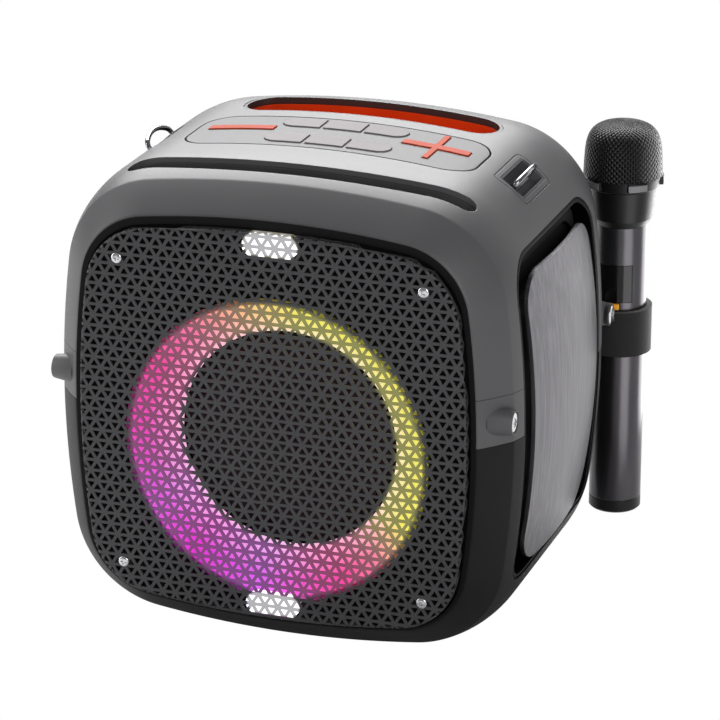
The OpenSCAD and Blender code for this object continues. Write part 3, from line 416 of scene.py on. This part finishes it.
def mesh_wires(name, pitch):
    """Woven wire: crossed waves aslant the head, the gaps painted black as the shade inside the head, a
    little brighter on the wires.
    """
    m, t, _ = start(name)
    uv = node(t, "ShaderNodeTexCoord").outputs["UV"]
    slant = node(t, "ShaderNodeMapping", values={"Rotation": (0, 0, math.pi / 4)}, links={"Vector": uv})
    grid = node(t, "ShaderNodeSeparateXYZ", links={0: slant.outputs[0]})

    def wave(along):
        turns = node(t, "ShaderNodeMath", {"operation": "MULTIPLY"}, {1: math.pi / pitch}, {0: along})
        sine = node(t, "ShaderNodeMath", {"operation": "SINE"}, links={0: turns.outputs[0]})
        return node(t, "ShaderNodeMath", {"operation": "ABSOLUTE"}, links={0: sine.outputs[0]}).outputs[0]

    gap = node(t, "ShaderNodeMath", {"operation": "MULTIPLY"},
               links={0: wave(grid.outputs[0]), 1: wave(grid.outputs[1])})
    wire = node(t, "ShaderNodeMath", {"operation": "SUBTRACT"}, {0: 1.0}, {1: gap.outputs[0]})
    # painted shade: the gaps between the wires are pure black, as the shade inside the head
    colour = node(t, "ShaderNodeValToRGB", links={"Fac": wire.outputs[0]},
                  stops=[(0.3, srgb("000000")), (0.8, srgb("121213"))])
    bump = node(t, "ShaderNodeBump", values={"Strength": 1.0, "Distance": 0.0006},
                links={"Height": wire.outputs[0]})
    metal = node(t, "ShaderNodeMapRange", values={"From Min": 0.3, "From Max": 0.6, "To Max": 0.22},
                 links={"Value": wire.outputs[0]})
    s = node(t, "ShaderNodeBsdfPrincipled", values={"Roughness": 0.36, "Specular IOR Level": 0.2},
             links={"Base Color": colour.outputs[0], "Metallic": metal.outputs[0],
                    "Normal": bump.outputs[0]})
    node(t, "ShaderNodeOutputMaterial", links={"Surface": s.outputs[0]})
    return m


# Lit places, in metres: the lens's axis, and where its colours pale and its rim goes dark
RING_CENTRE, PALE_INSIDE, PALE_BAND, DARK_RIM = (0, 0, 0.117), 0.5, (0.060, 0.074), (0.0803, 0.0813)
# Where the ring's glow is painted on the grille's bars: its outer and its deeper, inner edge, each with a
# soft border
GLOW_OUTER_CENTRE, GLOW_OUTER = (0.0028, 0, 0.1204), (0.0795, 0.0825)
GLOW_INNER_CENTRE, GLOW_INNER = (0.0095, 0, 0.1285), (0.0585, 0.0615)
# Where the two windows' glow is painted on the grille's bars: half of the straight run, middle height,
# rise and edge
PANE_X, PANE_HALF, PANE_MID_Z, PANE_RISE, PANE_EDGE = 0.0012, 0.0089, 0.1334, 0.0996, (0.0054, 0.0064)
# How strongly the ring's and the windows' glow is painted on the bars
RING_SPILL, PANE_SPILL = 0.27, 0.45

# Moulded ABS, satin mid-grey: bright where the deck mirrors the light behind, dim in front
GREY = moulded("satin grey case", "545456", "58585a", rough=(0.42, 0.54))
# Moulded ABS, satin near-black: a dark lower half with a soft sheen at its turns
BLACK = moulded("satin black case", "121213", "161617", rough=(0.42, 0.55), specular=0.22)
# Matt black ABS of the rim, the baffle and the sockets: it reads as plain darkness
DEEP = moulded("matt black moulding", "060607", "0a0a0b", rough=(0.6, 0.75), specular=0.2)
# Smooth black ABS of the side frames: black with a faint sheen along the inner wall
FRAME = moulded("side frame black", "050506", "08080a", rough=(0.34, 0.44), edge=0.001, specular=0.08)
# Nickel plating of the screws: small bright glints
CHROME = moulded("bright plating", "d8d8da", "e6e6e8", rough=(0.1, 0.18), metallic=1.0, edge=0.0003)
# Polished steel wire of the strap rings: darker than the plating, so that it stands out on white
WIRE = moulded("polished steel wire", "8c8c90", "a2a2a6", rough=(0.12, 0.2), metallic=1.0, edge=0.0003)
# Blackened steel of the driver: a dull dark grey metal
DARK_STEEL = moulded("blackened steel", "202021", "2c2c2d", rough=(0.35, 0.45), metallic=0.9)
# Moulded rubber: dead black with no sheen
RUBBER = moulded("foot rubber", "131313", "1b1b1b", rough=(0.75, 0.9), specular=0.3)
# Solder mask on glass laminate: glossy dark green
BOARD = moulded("green solder mask", "0c3a1c", "145428", rough=(0.3, 0.5), coat=0.3)
# Moulded ABS with a matt texture: a pale, even field on the deck
PANEL = moulded("pale grey panel", "626264", "68686a", rough=(0.5, 0.62), edge=0.0005, specular=0.4)
# Soft-touch silicone: slightly warmer and duller than the panel round it
KEYS = moulded("touch-soft keys", "767072", "7e787a", rough=(0.55, 0.68), edge=0.0005, specular=0.4)
# Red ABS: brick red that goes salmon in the light behind
RED_KEY = moulded("brick-red mould", "b03a1c", "c04624", rough=(0.5, 0.62), edge=0.0005, specular=0.12)
# Orange-red ABS: the pocket's saturated cup, the strongest colour on top
LINER = moulded("orange-red liner", "c83808", "dc480e", rough=(0.28, 0.42), edge=0.0004)
# Dark grey ABS: the thin lip round the pocket, hardly lighter than a shadow
TRIM = moulded("dark trim", "262626", "303030", rough=(0.4, 0.55))
# Mid-dark grey ABS: the slot's walls, a dark line across the bright deck
SLOT = moulded("slot grey", "3a3a3b", "434344", rough=(0.5, 0.65))
# Coarsely textured ABS of 0.7 mm grain: the dark violet-grey bed of the strap rings
MOUNT = moulded("strap mount", "565458", "646266", rough=(0.6, 0.75), grain=0.0007, depth=0.0001,
                specular=0.1)
# Coated paper: the driver's dull near-black cone
PAPER = moulded("coated cone", "1a1a1c", "242426", rough=(0.6, 0.8))
# Enamelled copper wire: warm metal
COPPER = moulded("copper winding", "8a4a22", "a65c2c", rough=(0.3, 0.45), metallic=1.0)
# Resin-soaked cotton: the spider's dull amber
RESIN = moulded("resin cloth", "8a6c2c", "a5843c", rough=(0.6, 0.8))
# Shrink film on cells: glossy blue
CELL = moulded("cell wrap", "14406e", "1c5088", rough=(0.3, 0.45), coat=0.3)
# Milled aluminium: pale grey metal with short streaks of 2.5 mm by 70 mm
SINK = brushed("plain aluminium", "9a9a9c", "c2c2c4")
# Aluminium brushed upwards: mid-grey with a cool cast and streaks of about 2 mm by 50 mm, coarser
# than a brush's own lines, which would be too fine to show
PLATE = brushed("brushed plate", "626064", "8c8a8e", rough=0.36, stretch=(460, 460, 20))
# Gunmetal lacquer on the tube: dark metal that mirrors a streak and a white edge
TUBE = brushed("gunmetal tube", "48464a", "504e50", rough=0.24, stretch=(200, 200, 40), metallic=0.95,
               depth=0.000001)
# Satin black ABS of the collar and cap: black with one soft highlight
MIC_BLACK = moulded("satin mic black", "060607", "0a0a0b", rough=(0.3, 0.4), edge=0.0006, specular=0.25)
# Acrylic over the display: glossy black
DISPLAY = moulded("display lens", "040405", "070708", rough=(0.08, 0.14), coat=0.1, edge=0.0002,
                  specular=0.3)
# Amber ABS: the button's small warm spot
AMBER = moulded("amber button", "c8861c", "d89628", rough=(0.2, 0.35), edge=0.0003)
# Gilded brass: warm metal behind the wire
GOLD = moulded("gold capsule", "b08a3a", "c8a050", rough=(0.2, 0.35), metallic=1.0)
# Elastic webbing with threads 0.9 mm apart: black without a highlight
BAND = cloth("elastic band", "070607", "0f0d0f", 0.0009)
# Steel wire woven 2.1 mm apart and lacquered: black, with painted shade in its gaps and its crossings
# glinting near the top
MESH = mesh_wires("woven wire head", 0.0021)
# Milky acrylic: white light with hardly a shade in it
WHITE = window_lens("white lens", "f4f4f8", "ffffff", 1.3)
# The ring's colours by turn from the right, clockwise: magenta, violet, pink, orange, yellow and back
SWEEP = [(turn, srgb(code)) for turn, code in (
    (0.0, "d848b0"), (0.08, "d058d0"), (0.146, "d830c8"), (0.229, "cc60dc"), (0.292, "e050b0"),
    (0.333, "e84898"), (0.375, "e8809a"), (0.4, "eeb890"), (0.425, "e6e266"), (0.725, "e6e266"),
    (0.771, "e8c880"), (0.8125, "e8a08c"), (0.854, "e4709a"), (0.917, "e0489a"), (1.0, "d848b0"),
)]
# Milky acrylic over the lamps: saturated light at the outer edge, paler towards the inner one
RING = ring_lens("ring lens", 0.95)
# Powder-coated steel: dark grey bars, with a painted glow where they cover the ring and the windows
GRILLE = coat_with_painted_glow("grille coat with painted glow", "424244", "4a4a4c")

FINISH = {
    "upper_shell": GREY, "lower_shell": BLACK, "corner_clamps": GREY, "clamp_screws": CHROME,
    "base_foot": RUBBER, "front_frame": DEEP, "baffle": DEEP, "grille": GRILLE,
    "grille_screws": CHROME, "light_windows": WHITE, "light_ring": RING, "light_board": BOARD,
    "woofer_basket": DARK_STEEL, "woofer_magnet": DARK_STEEL, "woofer_cone": PAPER,
    "dust_cap": PAPER, "voice_coil": COPPER, "woofer_surround": RUBBER, "spider": RESIN,
    "woofer_screws": CHROME, "control_panel": PANEL, "volume_down_key": RED_KEY,
    "volume_up_key": RED_KEY, "power_key": KEYS, "pairing_key": KEYS, "light_key": KEYS,
    "play_key": KEYS, "sound_key": KEYS, "effect_key": KEYS, "key_board": BOARD,
    "key_switches": DEEP, "tablet_slot": SLOT, "handle_trim": TRIM, "handle_liner": LINER,
    "strap_mount_left": MOUNT, "strap_mount_right": MOUNT, "strap_ring_left": WIRE,
    "strap_ring_right": WIRE, "side_frame_left": FRAME, "side_frame_right": FRAME,
    "radiator_surround_left": RUBBER, "radiator_surround_right": RUBBER,
    "radiator_plate_left": PLATE, "radiator_plate_right": PLATE, "rear_panel": BLACK,
    "socket_plate": DEEP, "rear_screws": DARK_STEEL, "main_board": BOARD, "heat_sink": SINK,
    "battery_pack": CELL, "mic_band": BAND, "mic_grille": MESH, "mic_collar": MIC_BLACK,
    "mic_tube": TUBE, "mic_display": DISPLAY, "mic_button": AMBER, "mic_cap": MIC_BLACK,
    "mic_capsule": GOLD, "mic_battery": CELL,
}
for name, material in FINISH.items():
    piece = NODES[name]
    piece.data.materials.clear()
    piece.data.materials.append(material)
    auto_smooth(piece, 25)


def place(obj, body, material, slot, *nodes):
    """Gives a piece its finish, the body that it rides on and the nodes that it stands for."""
    obj.data.materials.clear()
    obj.data.materials.append(material)
    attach(obj, body)
    if nodes:
        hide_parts(*nodes)
    return obj


# ---- housing skin ---------------------------------------------------------------

def housing_section():
    """The skin's closed section, as distances outwards and forwards, with the crease and the rim."""
    outer = arc(*SHOULDER, 16)
    for bend, steps in ((CREASE, 6), (BEZEL, 6), (RIM, 5)):
        outer += arc(*bend, steps)[1:]
    outer += LIP
    inner = arc(*INSIDE, 8)
    crown = [(0, y) for y in np.linspace(-CROWN_Y, CROWN_Y, 9)[1:-1]]
    ceiling = [(-WALL, y) for y in (25, 0, -25)]

    def mirrored(run):
        return [(x, -y) for x, y in reversed(run)]

    return mirrored(outer) + crown + outer + inner + ceiling + mirrored(inner)


def sweep(name, section, side_steps, corner_steps):
    """A closed section carried round the housing's outline."""
    arcs = outline_arcs(side_steps, corner_steps)
    verts, faces, m, n = [], [], len(section), len(arcs)
    for c, r, a in arcs:
        for x, y in section:
            verts.append((c[0] + (r + x) * math.cos(a), -y, BODY_Z + c[1] + (r + x) * math.sin(a)))
    for i in range(n):
        for k in range(m):
            a, b = i * m + k, i * m + (k + 1) % m
            c, d = ((i + 1) % n) * m + (k + 1) % m, ((i + 1) % n) * m + k
            faces.append((a, b, c, d))
    return fix_normals(new_object(name, verts, faces))


def prism(name, points, lo, hi, axis="z"):
    """A closed prism of an outline between two distances along an axis."""
    n = len(points)
    verts = []
    for h in (lo, hi):
        for u, v in points:
            verts.append({"z": (u, v, h), "x": (h, u, v)}[axis])
    faces = [tuple(range(n - 1, -1, -1)), tuple(range(n, 2 * n))]
    faces += [(i, (i + 1) % n, n + (i + 1) % n, n + i) for i in range(n)]
    return fix_normals(new_object(name, verts, faces, smooth=False))


def rounded(w, h, r, cx=0, cy=0, steps=10):
    """Outline of a rectangle with round corners."""
    pts = []
    for q, (sx, sy) in enumerate(((1, 1), (-1, 1), (-1, -1), (1, -1))):
        pts += arc(cx + sx * (w / 2 - r), cy + sy * (h / 2 - r), r, 90 * q, 90 * q + 90, steps)
    return pts


def slot_points():
    """Outline of the slot: a band along a shallow arc, with round ends."""
    bend = (SLOT_RUN * SLOT_RUN + SLOT_BOW * SLOT_BOW) / (2 * SLOT_BOW)
    turn = math.asin(SLOT_RUN / bend)

    def edge(r, a0, a1):
        return [(SLOT_X + r * math.sin(a), SLOT_Y + bend - r * math.cos(a))
                for a in np.linspace(a0, a1, 40)]

    def cap(s):
        cx, cy = SLOT_X + s * bend * math.sin(turn), SLOT_Y + bend - bend * math.cos(turn)
        heading = s * (math.degrees(turn) - 90)
        return arc(cx, cy, SLOT_R, heading, heading + 180, 10)[1:-1]

    return edge(bend + SLOT_R, -turn, turn) + cap(1) + edge(bend - SLOT_R, turn, -turn) + cap(-1)


def side_points():
    """Outline of the recess in each side."""
    upper, lower = RECESS_HIGH - RECESS_TOP_R, RECESS_LOW + RECESS_BASE_R
    pts = arc(RECESS_REAR - RECESS_TOP_R, upper, RECESS_TOP_R, 0, 90, 10)
    pts += arc(RECESS_FRONT + RECESS_TOP_R, upper, RECESS_TOP_R, 90, 180, 10)
    pts += arc(RECESS_FRONT + RECESS_BASE_R, lower, RECESS_BASE_R, 180, 270, 8)
    return pts + arc(RECESS_REAR - RECESS_BASE_R, lower, RECESS_BASE_R, 270, 360, 8)


def combine(obj, tool, operation):
    """Cuts a tool out of an object, or joins it on, and removes the tool."""
    mod = obj.modifiers.new("boolean", "BOOLEAN")
    mod.operation, mod.solver, mod.object = operation, "EXACT", tool
    apply_modifiers(obj)
    bpy.data.objects.remove(tool)


def cut(obj, tool):
    """Cuts a tool out of an object."""
    combine(obj, tool, "DIFFERENCE")


skin = sweep("skin", housing_section(), side_steps=22, corner_steps=30)
for s in (-1, 1):
    cut(skin, prism("tool", side_points(), *sorted((s * RECESS_FROM, s * RECESS_TO)), "x"))
cut(skin, prism("tool", rounded(*PANEL_OPENING), PANEL_FROM, ABOVE))
cut(skin, prism("tool", slot_points(), SLOT_FROM, ABOVE))
cut(skin, prism("tool", rounded(*POCKET_OPENING, 16), POCKET_FROM, ABOVE))
for s in (-1, 1):
    # the strap mount's opening and a fine groove round it
    groove = prism("tool", rounded(*GROOVE_OUTER), GROOVE_FROM, GROOVE_TO)
    cut(groove, prism("tool", rounded(*GROOVE_INNER), CORE_FROM, BEYOND))
    for tool in (prism("tool", rounded(*STRAP_OPENING), OPENING_FROM, BEYOND), groove):
        tool.data.transform(Matrix.Translation((CK * MM, STRAP_Y * MM, (BODY_Z + CK) * MM))
                            @ Matrix.Rotation(STRAP_TURN, 4, "Y"))
        if s < 0:
            tool.data.transform(Matrix.Scale(-1, 4, (1, 0, 0)))
            tool.data.flip_normals()
        cut(skin, tool)


def between(obj, name, lo, hi):
    """The part of a closed mesh between two heights, with its cuts capped."""
    bm = bmesh.new()
    bm.from_mesh(obj.data)
    for z, up in ((lo, False), (hi, True)):
        if z is None:
            continue
        geom = bm.verts[:] + bm.edges[:] + bm.faces[:]
        res = bmesh.ops.bisect_plane(bm, geom=geom, plane_co=(0, 0, z * MM), plane_no=(0, 0, 1),
                                     clear_outer=up, clear_inner=not up)
        rim = [e for e in res["geom_cut"] if isinstance(e, bmesh.types.BMEdge)]
        bmesh.ops.edgeloop_fill(bm, edges=[e for e in rim if e.is_boundary])
    mesh = bpy.data.meshes.new(name)
    bm.to_mesh(mesh)
    bm.free()
    out = bpy.data.objects.new(name, mesh)
    bpy.context.scene.collection.objects.link(out)
    auto_smooth(out, 28)
    return out


def ring_faces(rings, seg, first=0):
    """Quads between a number of rings, each of the same number of points."""
    faces = []
    for i in range(rings - 1):
        low, high = first + i * seg, first + (i + 1) * seg
        faces += [(low + k, low + (k + 1) % seg, high + (k + 1) % seg, high + k) for k in range(seg)]
    return faces


def boss(s, end, y, seg=64):
    """A tapered stub across the housing, its edge rounded, with a cup for the screw in its end."""
    rings = [(BOSS_ROOT, ROOT_R), (end - 0.7, END_R), (end - 0.2, END_R - 0.25), (end, END_R - 0.7),
             (end, CUP_R), (end - CUP_DEPTH, CUP_R)]
    turns = [2 * math.pi * k / seg for k in range(seg)]
    verts = [(s * x, y + r * math.cos(a), BOSS_Z + r * math.sin(a)) for x, r in rings for a in turns]
    faces = ring_faces(len(rings), seg)
    faces += [tuple(range(seg)), tuple(range(len(rings) * seg - 1, (len(rings) - 1) * seg - 1, -1))]
    return fix_normals(new_object("tool", verts, faces))


upper = between(skin, "upper_housing_skin", CLAMP_HIGH + SEAM, None)
lower = between(skin, "lower_housing_skin", None, CLAMP_LOW - SEAM)
clamps = between(skin, "clamp_skin", CLAMP_LOW, CLAMP_HIGH)
bpy.data.objects.remove(skin)
for sx in (-1, 1):
    for sy in (-1, 1):
        end = BAND_END if sx > 0 and sy > 0 else BOSS_END
        combine(clamps, boss(sx, end, sy * BOSS_Y), "UNION")
auto_smooth(clamps, 28)
place(upper, "speaker", GREY, "grey_case", "upper_shell")
place(lower, "speaker", BLACK, "black_case", "lower_shell")
place(clamps, "speaker", GREY, "grey_case", "corner_clamps")

# ---- grille ---------------------------------------------------------------------

def bent(x, z, bend=1.4):
    """Where a point of the flat sheet goes when its edge is bent back along the outline."""
    d, nx, nz = outside(x, z, GRILLE_INSET)
    if d <= 0:
        return x, 0.0, z
    bx, bz = x - d * nx, z - d * nz
    a = min(d / bend, math.pi / 2)
    out = bend * math.sin(a)
    back = bend * (1 - math.cos(a)) + max(0, d - bend * math.pi / 2)
    return bx + out * nx, back, bz + out * nz


def lattice_sheet(pitch=7.25, row=5.85, bar=1.7, depth=8.2, half=124):
    """A sheet with triangular holes, down to a depth beyond the line where its edge bends back.

    The pitch is a triangle's side and the row its height; bar is the width left between two holes.
    """
    verts, faces, index = [], [], {}

    def vert(x, z):
        key = (round(x, 3), round(z, 3))
        if key not in index:
            bx, back, bz = bent(x, z)
            index[key] = len(verts)
            verts.append((bx, FACE_Y + back, GRILLE_Z + bz))
        return index[key]

    def hole(tri):
        """A triangle's corners, and the same drawn in by half a bar."""
        p = np.array(tri)
        sides = [np.linalg.norm(p[(k + 1) % 3] - p[(k + 2) % 3]) for k in range(3)]
        e1, e2 = p[1] - p[0], p[2] - p[0]
        r_in = abs(e1[0] * e2[1] - e1[1] * e2[0]) / sum(sides)
        centre = sum(side * corner for side, corner in zip(sides, p)) / sum(sides)
        return p, centre + (p - centre) * (1 - bar / 2 / r_in)

    rows, cols = int(half / row), int(half / pitch) + 2
    for j in range(-rows, rows):
        for i in range(-cols, cols):
            x0 = (i + (0.5 if j % 2 else 0)) * pitch
            z0 = j * row
            up = [(x0, z0), (x0 + pitch, z0), (x0 + pitch / 2, z0 + row)]
            down = [(x0 + pitch, z0), (x0 + 1.5 * pitch, z0 + row), (x0 + pitch / 2, z0 + row)]
            for tri in (up, down):
                if max(outside(*p, GRILLE_INSET)[0] for p in tri) > depth:
                    continue
                p, q = hole(tri)
                # finer steps where the sheet bends
                steps = 6 if outside(*np.mean(tri, axis=0), GRILLE_INSET)[0] > -5 else 1
                for k in range(3):
                    a, b = p[k], p[(k + 1) % 3]
                    ia, ib = q[k], q[(k + 1) % 3]
                    for s in range(steps):
                        f0, f1 = s / steps, (s + 1) / steps
                        faces.append((vert(*(a + (b - a) * f0)), vert(*(a + (b - a) * f1)),
                                      vert(*(ia + (ib - ia) * f1)), vert(*(ia + (ib - ia) * f0))))
    return verts, faces


grille = new_object("perforated_sheet", *lattice_sheet(), smooth=False)
thick = grille.modifiers.new("thick", "SOLIDIFY")
thick.thickness, thick.offset = SHEET * MM, -1
apply_modifiers(grille)
auto_smooth(grille, 40)
place(grille, "speaker", GRILLE, "grille_steel", "grille")

# ---- screw heads ------------------------------------------------------------------

def turned_points(rings, seg, cx=0, cy=0):
    """Points round an upright axis, for rings of radius and height."""
    turns = [2 * math.pi * k / seg for k in range(seg)]
    return [(cx + r * math.cos(a), cy + r * math.sin(a), z) for r, z in rings for a in turns]


def screw_head(r, rise, recess, points, seg=48):
    """A domed head along +Z, cut with a star-shaped recess."""
    rings = [(r, 0)]
    rings += [(r * math.cos(a), rise * (0.35 + 0.65 * math.sin(a))) for a in np.linspace(0, 1.35, 7)]
    verts = [(0, 0, 0), (0, 0, rise)] + turned_points(rings, seg)
    top = 2 + (len(rings) - 1) * seg
    faces = [(0, 2 + (k + 1) % seg, 2 + k) for k in range(seg)]
    faces += [(1, top + k, top + (k + 1) % seg) for k in range(seg)]
    faces += ring_faces(len(rings), seg, 2)
    head = new_object("head", verts, faces)
    star = []
    for k in range(2 * points):
        reach, a = recess * (0.45 if k % 2 else 1), math.pi * k / points
        star.append((reach * math.cos(a), reach * math.sin(a)))
    cut(head, prism("tool", star, rise * 0.3, rise * 2))
    auto_smooth(head, 35)
    return head


def joined(name, parts):
    """One object out of several, each moved by its matrix."""
    bm = bmesh.new()
    for obj, matrix in parts:
        mesh = obj.data.copy()
        mesh.transform(matrix)
        bm.from_mesh(mesh)
        bpy.data.meshes.remove(mesh)
    for obj in {o for o, _ in parts}:
        bpy.data.objects.remove(obj)
    out = bpy.data.objects.new(name, bpy.data.meshes.new(name))
    bm.to_mesh(out.data)
    bm.free()
    bpy.context.scene.collection.objects.link(out)
    return out


def at(x, y, z, axis, turn):
    """Places a part drawn along +Z at a point in millimetres, along another axis."""
    return (Matrix.Translation((x * MM, y * MM, z * MM))
            @ Vector((0, 0, 1)).rotation_difference(Vector(axis)).to_matrix().to_4x4()
            @ Matrix.Rotation(turn, 4, "Z"))


corners = [(sx * SCREW_X, GRILLE_Z + sz * SCREW_Z) for sx in (-1, 1) for sz in (-1, 1)]
small = screw_head(r=2.9, rise=1.2, recess=1.9, points=4)
heads = joined("grille_screw_heads",
               [(small, at(x, FACE_Y, z, (0, -1, 0), 0.3 + x)) for x, z in corners])
place(heads, "speaker", CHROME, "screw_chrome", "grille_screws")
eyelet = prism("tool", arc(0, 0, 4.5, 0, 360, 40)[:-1], -0.1, 0.7)
eyelets = joined("grille_eyelets",
                 [(eyelet, at(x, FACE_Y + SHEET, z, (0, -1, 0), 0)) for x, z in corners])
place(eyelets, "speaker", DEEP, "grille_steel")
big = screw_head(r=5.4, rise=1.3, recess=3.6, points=6)
sides = [(sx * BOSS_HEAD if sx < 0 or sy < 0 else BAND_HEAD, sy * BOSS_Y, BOSS_Z, (sx, 0, 0))
         for sx in (-1, 1) for sy in (-1, 1)]
heads = joined("clamp_screw_heads", [(big, at(x, y, z, axis, 0.4)) for x, y, z, axis in sides])
place(heads, "speaker", CHROME, "screw_chrome", "clamp_screws")

# ---- microphone head ---------------------------------------------------------------

def mic_head(rings=40, seg=96):
    """The head's blunt dome, with a UV grid in metres for its weave."""
    profile, length = [], [0.0]
    for k in range(rings + 1):
        u = 1 - (1 - k / rings) ** 2
        r = HEAD_R * max(0, 1 - u ** 5) ** (1 / 3.2) * (1 - 0.05 * u)
        profile.append((max(r, 0.05), HEAD_LOW + (HEAD_HIGH - HEAD_LOW) * u))
    for a, b in zip(profile, profile[1:]):
        length.append(length[-1] + math.dist(a, b))
    verts = turned_points(profile, seg, MIC_X, MIC_Y)
    obj = new_object("woven_head", verts, ring_faces(len(profile), seg))
    layer = obj.data.uv_layers.new(name="weave")
    around = 2 * math.pi * HEAD_R * MM
    for poly in obj.data.polygons:
        k, s = divmod(poly.index, seg)
        corners = ((k, s), (k, s + 1), (k + 1, s + 1), (k + 1, s))
        for loop, (kk, ss) in zip(poly.loop_indices, corners):
            layer.data[loop].uv = (around * ss / seg, length[kk] * MM)
    return obj


head = place(mic_head(), "microphone", MESH, "mic_mesh", "mic_grille")


def collar_pads(span=28, first=19.3, low=215.9, high=219.6, inner=22.05, outer=22.8, steps=8):
    """Five curved pads on the lugs of the collar; span and first are in degrees."""
    verts, faces = [], []
    for k in range(5):
        for i in range(steps + 1):
            a = math.radians(first + 72 * k + span * (i / steps - 0.5))
            for z in (low, high):
                for q in (inner, outer):
                    verts.append((MIC_X + q * math.cos(a), MIC_Y + q * math.sin(a), z))
        base = k * 4 * (steps + 1)
        faces += [(base, base + 2, base + 3, base + 1)]
        for i in range(steps):
            a, b = base + 4 * i, base + 4 * (i + 1)
            faces += [(a + m, b + m, b + n, a + n) for m, n in ((0, 1), (1, 3), (3, 2), (2, 0))]
        end = base + 4 * steps
        faces += [(end, end + 1, end + 3, end + 2)]
    obj = fix_normals(new_object("collar_pads", verts, faces))
    auto_smooth(obj, 30)
    return obj


pads = place(collar_pads(), "microphone", GREY, "grey_case")

# ---- studio ---------------------------------------------------------------------

def studio_floor():
    """A pale floor that the camera sees as pure white."""
    mesh = bpy.data.meshes.new("floor")
    mesh.from_pydata([(-6, -6, 0), (6, -6, 0), (6, 6, 0), (-6, 6, 0)], [], [(0, 1, 2, 3)])
    obj = bpy.data.objects.new("floor", mesh)
    bpy.context.scene.collection.objects.link(obj)
    m, t, co = start("white floor")
    soft = node(t, "ShaderNodeTexNoise", values={"Scale": 2}, links={"Vector": co})
    tone = node(t, "ShaderNodeValToRGB", links={"Fac": soft.outputs["Fac"]},
                stops=[(0.3, srgb("dcdcdc")), (0.7, srgb("e0e0e0"))])
    diffuse = node(t, "ShaderNodeBsdfDiffuse", links={"Color": tone.outputs[0]})
    plain = node(t, "ShaderNodeEmission", values={"Color": (1, 1, 1, 1), "Strength": 1})
    ray = node(t, "ShaderNodeLightPath")
    both = node(t, "ShaderNodeMixShader",
                links={0: ray.outputs["Is Camera Ray"], 1: diffuse.outputs[0], 2: plain.outputs[0]})
    node(t, "ShaderNodeOutputMaterial", links={"Surface": both.outputs[0]})
    mesh.materials.append(m)
    return obj


studio_floor()

# The surroundings: dim for the surfaces that they light, white for the camera
world = bpy.data.worlds.new("studio")
bpy.context.scene.world = world
world.use_nodes = True
wt = world.node_tree
wt.nodes.clear()
ray = node(wt, "ShaderNodeLightPath")
dim = node(wt, "ShaderNodeBackground", values={"Color": (1, 1, 1, 1), "Strength": 0.22})
white = node(wt, "ShaderNodeBackground", values={"Color": (1, 1, 1, 1), "Strength": 1})
mix = node(wt, "ShaderNodeMixShader",
           links={0: ray.outputs["Is Camera Ray"], 1: dim.outputs[0], 2: white.outputs[0]})
node(wt, "ShaderNodeOutputWorld", links={"Surface": mix.outputs[0]})


def softbox(name, spot, to, size, watts):
    """A rectangular lamp that lights and shows in reflections, but not to the camera."""
    data = bpy.data.lights.new(name, "AREA")
    data.shape = "RECTANGLE"
    data.size, data.size_y = size
    data.energy = watts
    obj = bpy.data.objects.new(name, data)
    obj.visible_camera = False
    obj.location = spot
    obj.rotation_euler = (Vector(to) - Vector(spot)).to_track_quat("-Z", "Y").to_euler()
    bpy.context.scene.collection.objects.link(obj)
    return obj


# Large and bright behind: it whitens the deck. The others fill the front and both sides.
softbox("back panel", (-0.74, 1.54, 1.62), (-0.02, 0, 0.2), (2.0, 1.7), 95)
softbox("front fill", (0.85, -1.05, 0.7), (0, 0, 0.12), (0.8, 0.8), 7)
softbox("left strip", (-1.3, -0.4, 0.5), (0, 0, 0.15), (0.4, 1.2), 7)
softbox("right strip", (0.95, 1.15, 0.4), (0.13, 0.05, 0.15), (0.5, 1.4), 2.2)

# Two low strips light the microphone alone: its bright right edge and the soft streak down its middle
mic_only = bpy.data.collections.new("microphone pieces")
for name, piece in NODES.items():
    if name.startswith("mic_"):
        mic_only.objects.link(piece)
for piece in (head, pads):
    mic_only.objects.link(piece)
MIC_AIM = (0.127, 0.115, 0.2)
for lamp in (softbox("edge strip", (0.242, 0.279, 0.2), MIC_AIM, (0.19, 0.44), 1.25),
             softbox("streak strip", (0.242, 0.004, 0.2), MIC_AIM, (0.1, 0.44), 0.33)):
    lamp.light_linking.receiver_collection = mic_only
